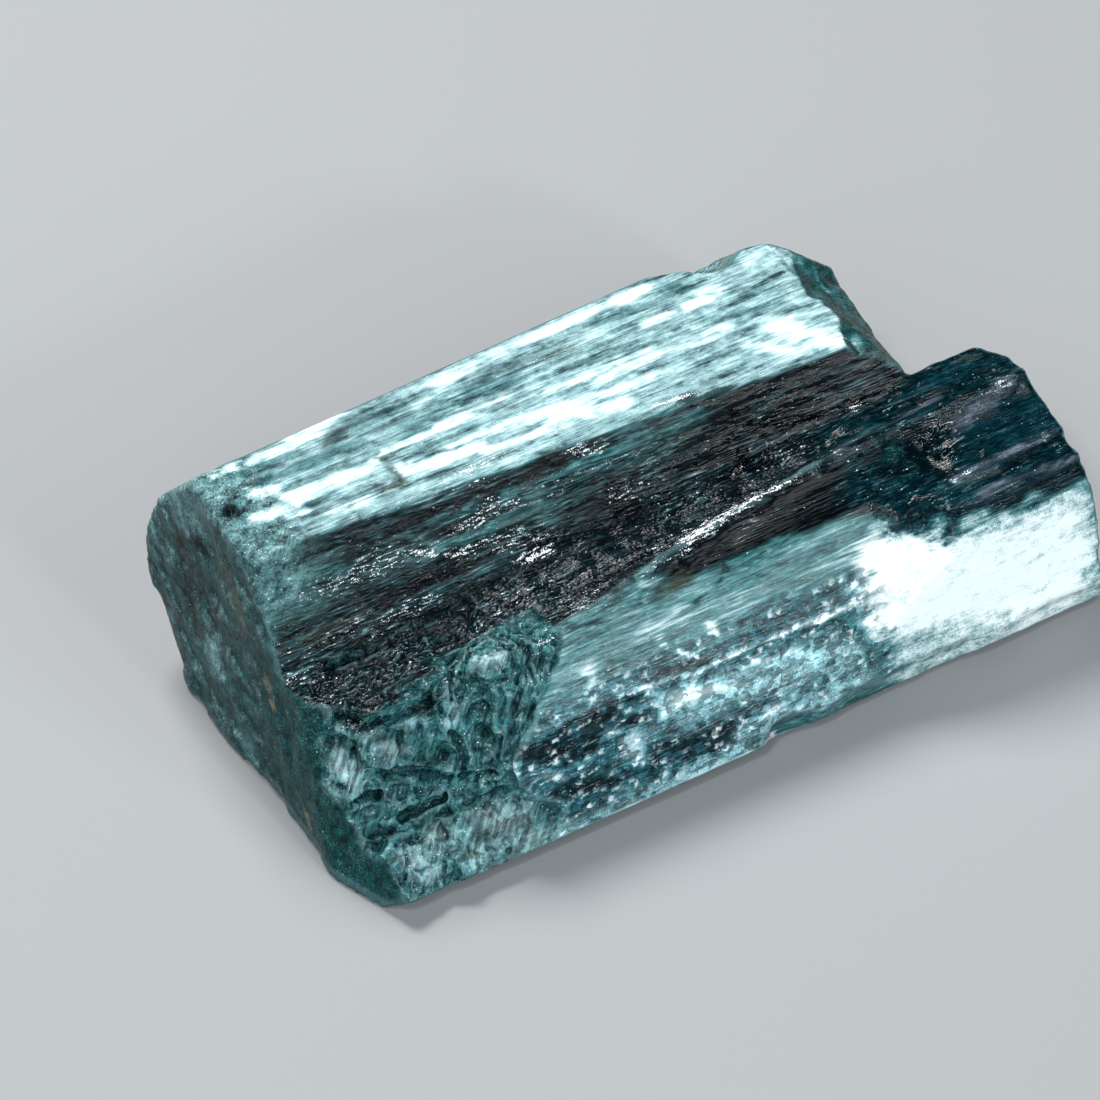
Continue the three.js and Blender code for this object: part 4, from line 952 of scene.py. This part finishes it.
def makeBeryl():
    b = Bench("vanadiumBeryl")
    place = b.make("ShaderNodeTexCoord", output="Object") * (1000, 1000, 1000) + shapeSettings["corner"]
    tone = b.field("tone", "Color")
    veil, white, dark, sparkle, streak, frosted, bubbles, hackle = (b.field(name) for name in measures)
    hollowShading = b.field("hollowShading")
    lines = b.noise(place, (0.13, 1, 1), 2.6, 1.0, 0.7, (5, 1, 2))
    hairs = b.noise(place, (0.07, 1, 1), 12, 1.0, 0.7, (2, 7, 4))
    blots = b.noise(place, (0.7, 1, 1), 2.8, 2.0, 0.68)
    dashes = b.noise(place, (0.22, 1, 1), 11, 1.0, 0.7, (3, 3, 9))
    dust = b.noise(place, (1, 1, 1), 16, 1.0, 0.72)
    flock = b.step(b.noise(place, (0.4, 1, 1), 0.9, 0.0, 0.5, (8, 2, 6)), 0.38, 0.62, 0.25, 1.45)
    cells = b.make(
        "ShaderNodeTexVoronoi", {"feature": "F1", "distance": "CHEBYCHEV"},
        {"Vector": place * (0.85, 1, 1.2) + (blots - 0.5) * 0.5, "Scale": 3.4},
        output="Distance",
    )
    chance = cells.beside("Color")

    # ribs that run down the break, away from the knob
    down = b.make("ShaderNodeCombineXYZ", {}, {
        0: b.dot(place, (-0.58, -0.36, -0.73)) * 0.16,
        1: b.dot(place, (0.78, 0.0, -0.62)),
        2: b.dot(place, (0.22, -0.93, 0.28)),
    })
    ribs = b.noise(down, (1, 1, 1), 5.5, 1.0, 0.65, (1, 5, 3))

    # broad light and dark first, then fine lines, then painted shade in hollows with painted highlights on
    # ridges, then bubbles and painted sparkles
    pattern = b.between(blots * 0.7 + dust * 0.3, lines * 0.5 + hairs * 0.5, streak)
    amount = pattern * 1.3 + white * 0.5
    mists = b.step(amount, 0.68, 1.0)
    whites = b.step(amount, 0.84, 1.25)
    darks = b.step(b.between(blots, dashes * 0.4 + lines * 0.6, streak) * -1.3 + dark * 0.5, -0.5, -0.12)
    fine = b.between(b.between(dust, dashes * 0.5 + hairs * 0.5, streak), ribs * 0.8 + dust * 0.2, hackle)
    lift = b.step(fine, 0.36, 0.66, 0.3, 2.0)
    # painted glints and reflections: the sparkle share lifts the fine strokes and lays pale ones
    colour = tone * b.between(1.0, lift, sparkle * 0.6 + 0.5)
    colour = b.blend(colour, palette["pale"], b.step(fine, 0.53, 0.63) * flock * sparkle)
    colour = b.blend(colour, tone * (0.06, 0.13, 0.15), darks * 0.95)
    colour = b.blend(colour, tone * 1.4 + tuple(v * 0.35 for v in palette["mist"][:3]), mists * 0.8)
    bubble = b.step(cells, 0.45, 0.15) * b.step(b.dot(chance, (0.6, 0.9, 0.1)), 0.45, 1.25)
    grit = b.between(b.step(fine, 0.3, 0.5, 0.5, 1.0), bubble * 1.3 + 0.25, bubbles * 0.85)
    colour = b.blend(colour, palette["ice"], whites * b.between(grit, 1.0, b.step(white, 0.75, 1.15)))
    # painted shade in hollows, painted highlight on ridges
    colour = b.blend(colour, colour * (0.16, 0.27, 0.3), b.step(hollowShading, 0.53, 0.95))
    colour = b.blend(colour, palette["pale"], b.step(hollowShading, 0.42, 0.1) * 0.3)
    shade = b.step(b.dot(chance, (0.1, 0.2, 0.9)), 0.25, 0.95, 0.4, 1.6)
    colour = b.blend(colour, colour * shade, bubbles * 0.8)
    # the bubbles' white dots are painted points of light
    colour = b.blend(colour, palette["ice"], bubble * bubbles * b.step(blots, 0.44, 0.6, 0.03, 0.75))
    # painted glints: tiny spark-white specks
    glintSpeck = b.step(dashes * 0.45 + dust * 0.55 + sparkle * flock * 0.13, 0.71, 0.74)
    colour = b.blend(colour, palette["spark"], glintSpeck)

    fineRelief = dust * (frosted * 0.7 + sparkle * 0.25)
    relief = hairs * 0.35 + dashes * (sparkle * 1.3) + fineRelief + ribs * (hackle * 2.5)
    normal = b.make("ShaderNodeBump", {}, {"Distance": beryl["reliefDepth"], "Height": relief})
    gloss = b.step(frosted + (dust - 0.5) * 0.3, 0.0, 1.0, 0.08, 0.6)
    opacity = b.step(veil + whites * 0.3 + (blots - 0.5) * 0.6, 0.0, 0.85)

    clear = b.make("ShaderNodeBsdfPrincipled", {}, {
        "Base Color": beryl["clearTint"], "Transmission Weight": 1.0, "IOR": beryl["ior"],
        "Roughness": gloss, "Normal": normal,
    })
    veiled = b.make("ShaderNodeBsdfPrincipled", {}, {
        "Base Color": colour, "Roughness": gloss, "Normal": normal, "IOR": beryl["ior"],
        "Specular IOR Level": beryl["veilShine"],
    })
    surface = b.make("ShaderNodeMixShader", {}, {"Fac": opacity, 1: clear, 2: veiled})
    depth = b.make("ShaderNodeVolumeAbsorption", {}, {
        "Color": beryl["absorption"], "Density": beryl["density"],
    })
    b.make("ShaderNodeOutputMaterial", {}, {"Surface": surface, "Volume": depth})
    return b.material


crystal.data.materials.append(makeBeryl())
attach(crystal, "root")
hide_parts("beryl_crystal")
print("crystal finished")

# ---- table and light ----

studio = {
    "table": paint(140, 142, 144),
    "world": (0.05, 0.055, 0.06, 1),
    # name, place, size, watts, colour
    "lamps": [
        ("key", (0, 0.17, 0.24), 0.12, 1.2, (1, 1, 0.99)),
        ("fill", (-0.18, -0.16, 0.22), 0.2, 0.45, (0.88, 0.96, 1)),
        ("spark", (0.03, -0.26, 0.15), 0.03, 0.3, (0.97, 1, 1)),
        ("panel", (0.1, -0.19, 0.18), 0.12, 0.16, (0.85, 0.95, 1)),
        ("low", (0.1, -0.237, 0.108), 0.03, 0.1, (0.9, 0.97, 1)),
        ("edge", (-0.14, -0.1, 0.27), 0.025, 0.25, (0.97, 1, 1)),
    ],
}


def makeStudio():
    bpy.ops.object.select_all(action="DESELECT")
    bpy.ops.mesh.primitive_plane_add(size=3, location=(0, 0, -0.00003))
    table = bpy.context.active_object
    table.name = "table"
    bpy.ops.object.transform_apply(location=True)
    b = Bench("table")
    cloth = b.make("ShaderNodeBsdfPrincipled", {}, {"Base Color": studio["table"], "Roughness": 0.7})
    b.make("ShaderNodeOutputMaterial", {}, {"Surface": cloth})
    table.data.materials.append(b.material)
    world = bpy.data.worlds.new("studio")
    bpy.context.scene.world = world
    world.use_nodes = True
    sky = world.node_tree.nodes["Background"]
    sky.inputs["Color"].default_value = studio["world"]
    for name, place, size, watts, colour in studio["lamps"]:
        data = bpy.data.lights.new(name, "AREA")
        data.shape, data.size, data.energy, data.color = "DISK", size, watts, colour
        lamp = bpy.data.objects.new(name, data)
        bpy.context.scene.collection.objects.link(lamp)
        lamp.location = place
        lamp.rotation_euler = Vector(place).to_track_quat("Z", "Y").to_euler()
    scene = bpy.context.scene
    scene.view_settings.view_transform = "Standard"
    scene.cycles.use_denoising = True
    scene.cycles.max_bounces = scene.cycles.transmission_bounces = 4
    scene.cycles.diffuse_bounces, scene.cycles.glossy_bounces = 1, 1


makeStudio()
print("studio lit")
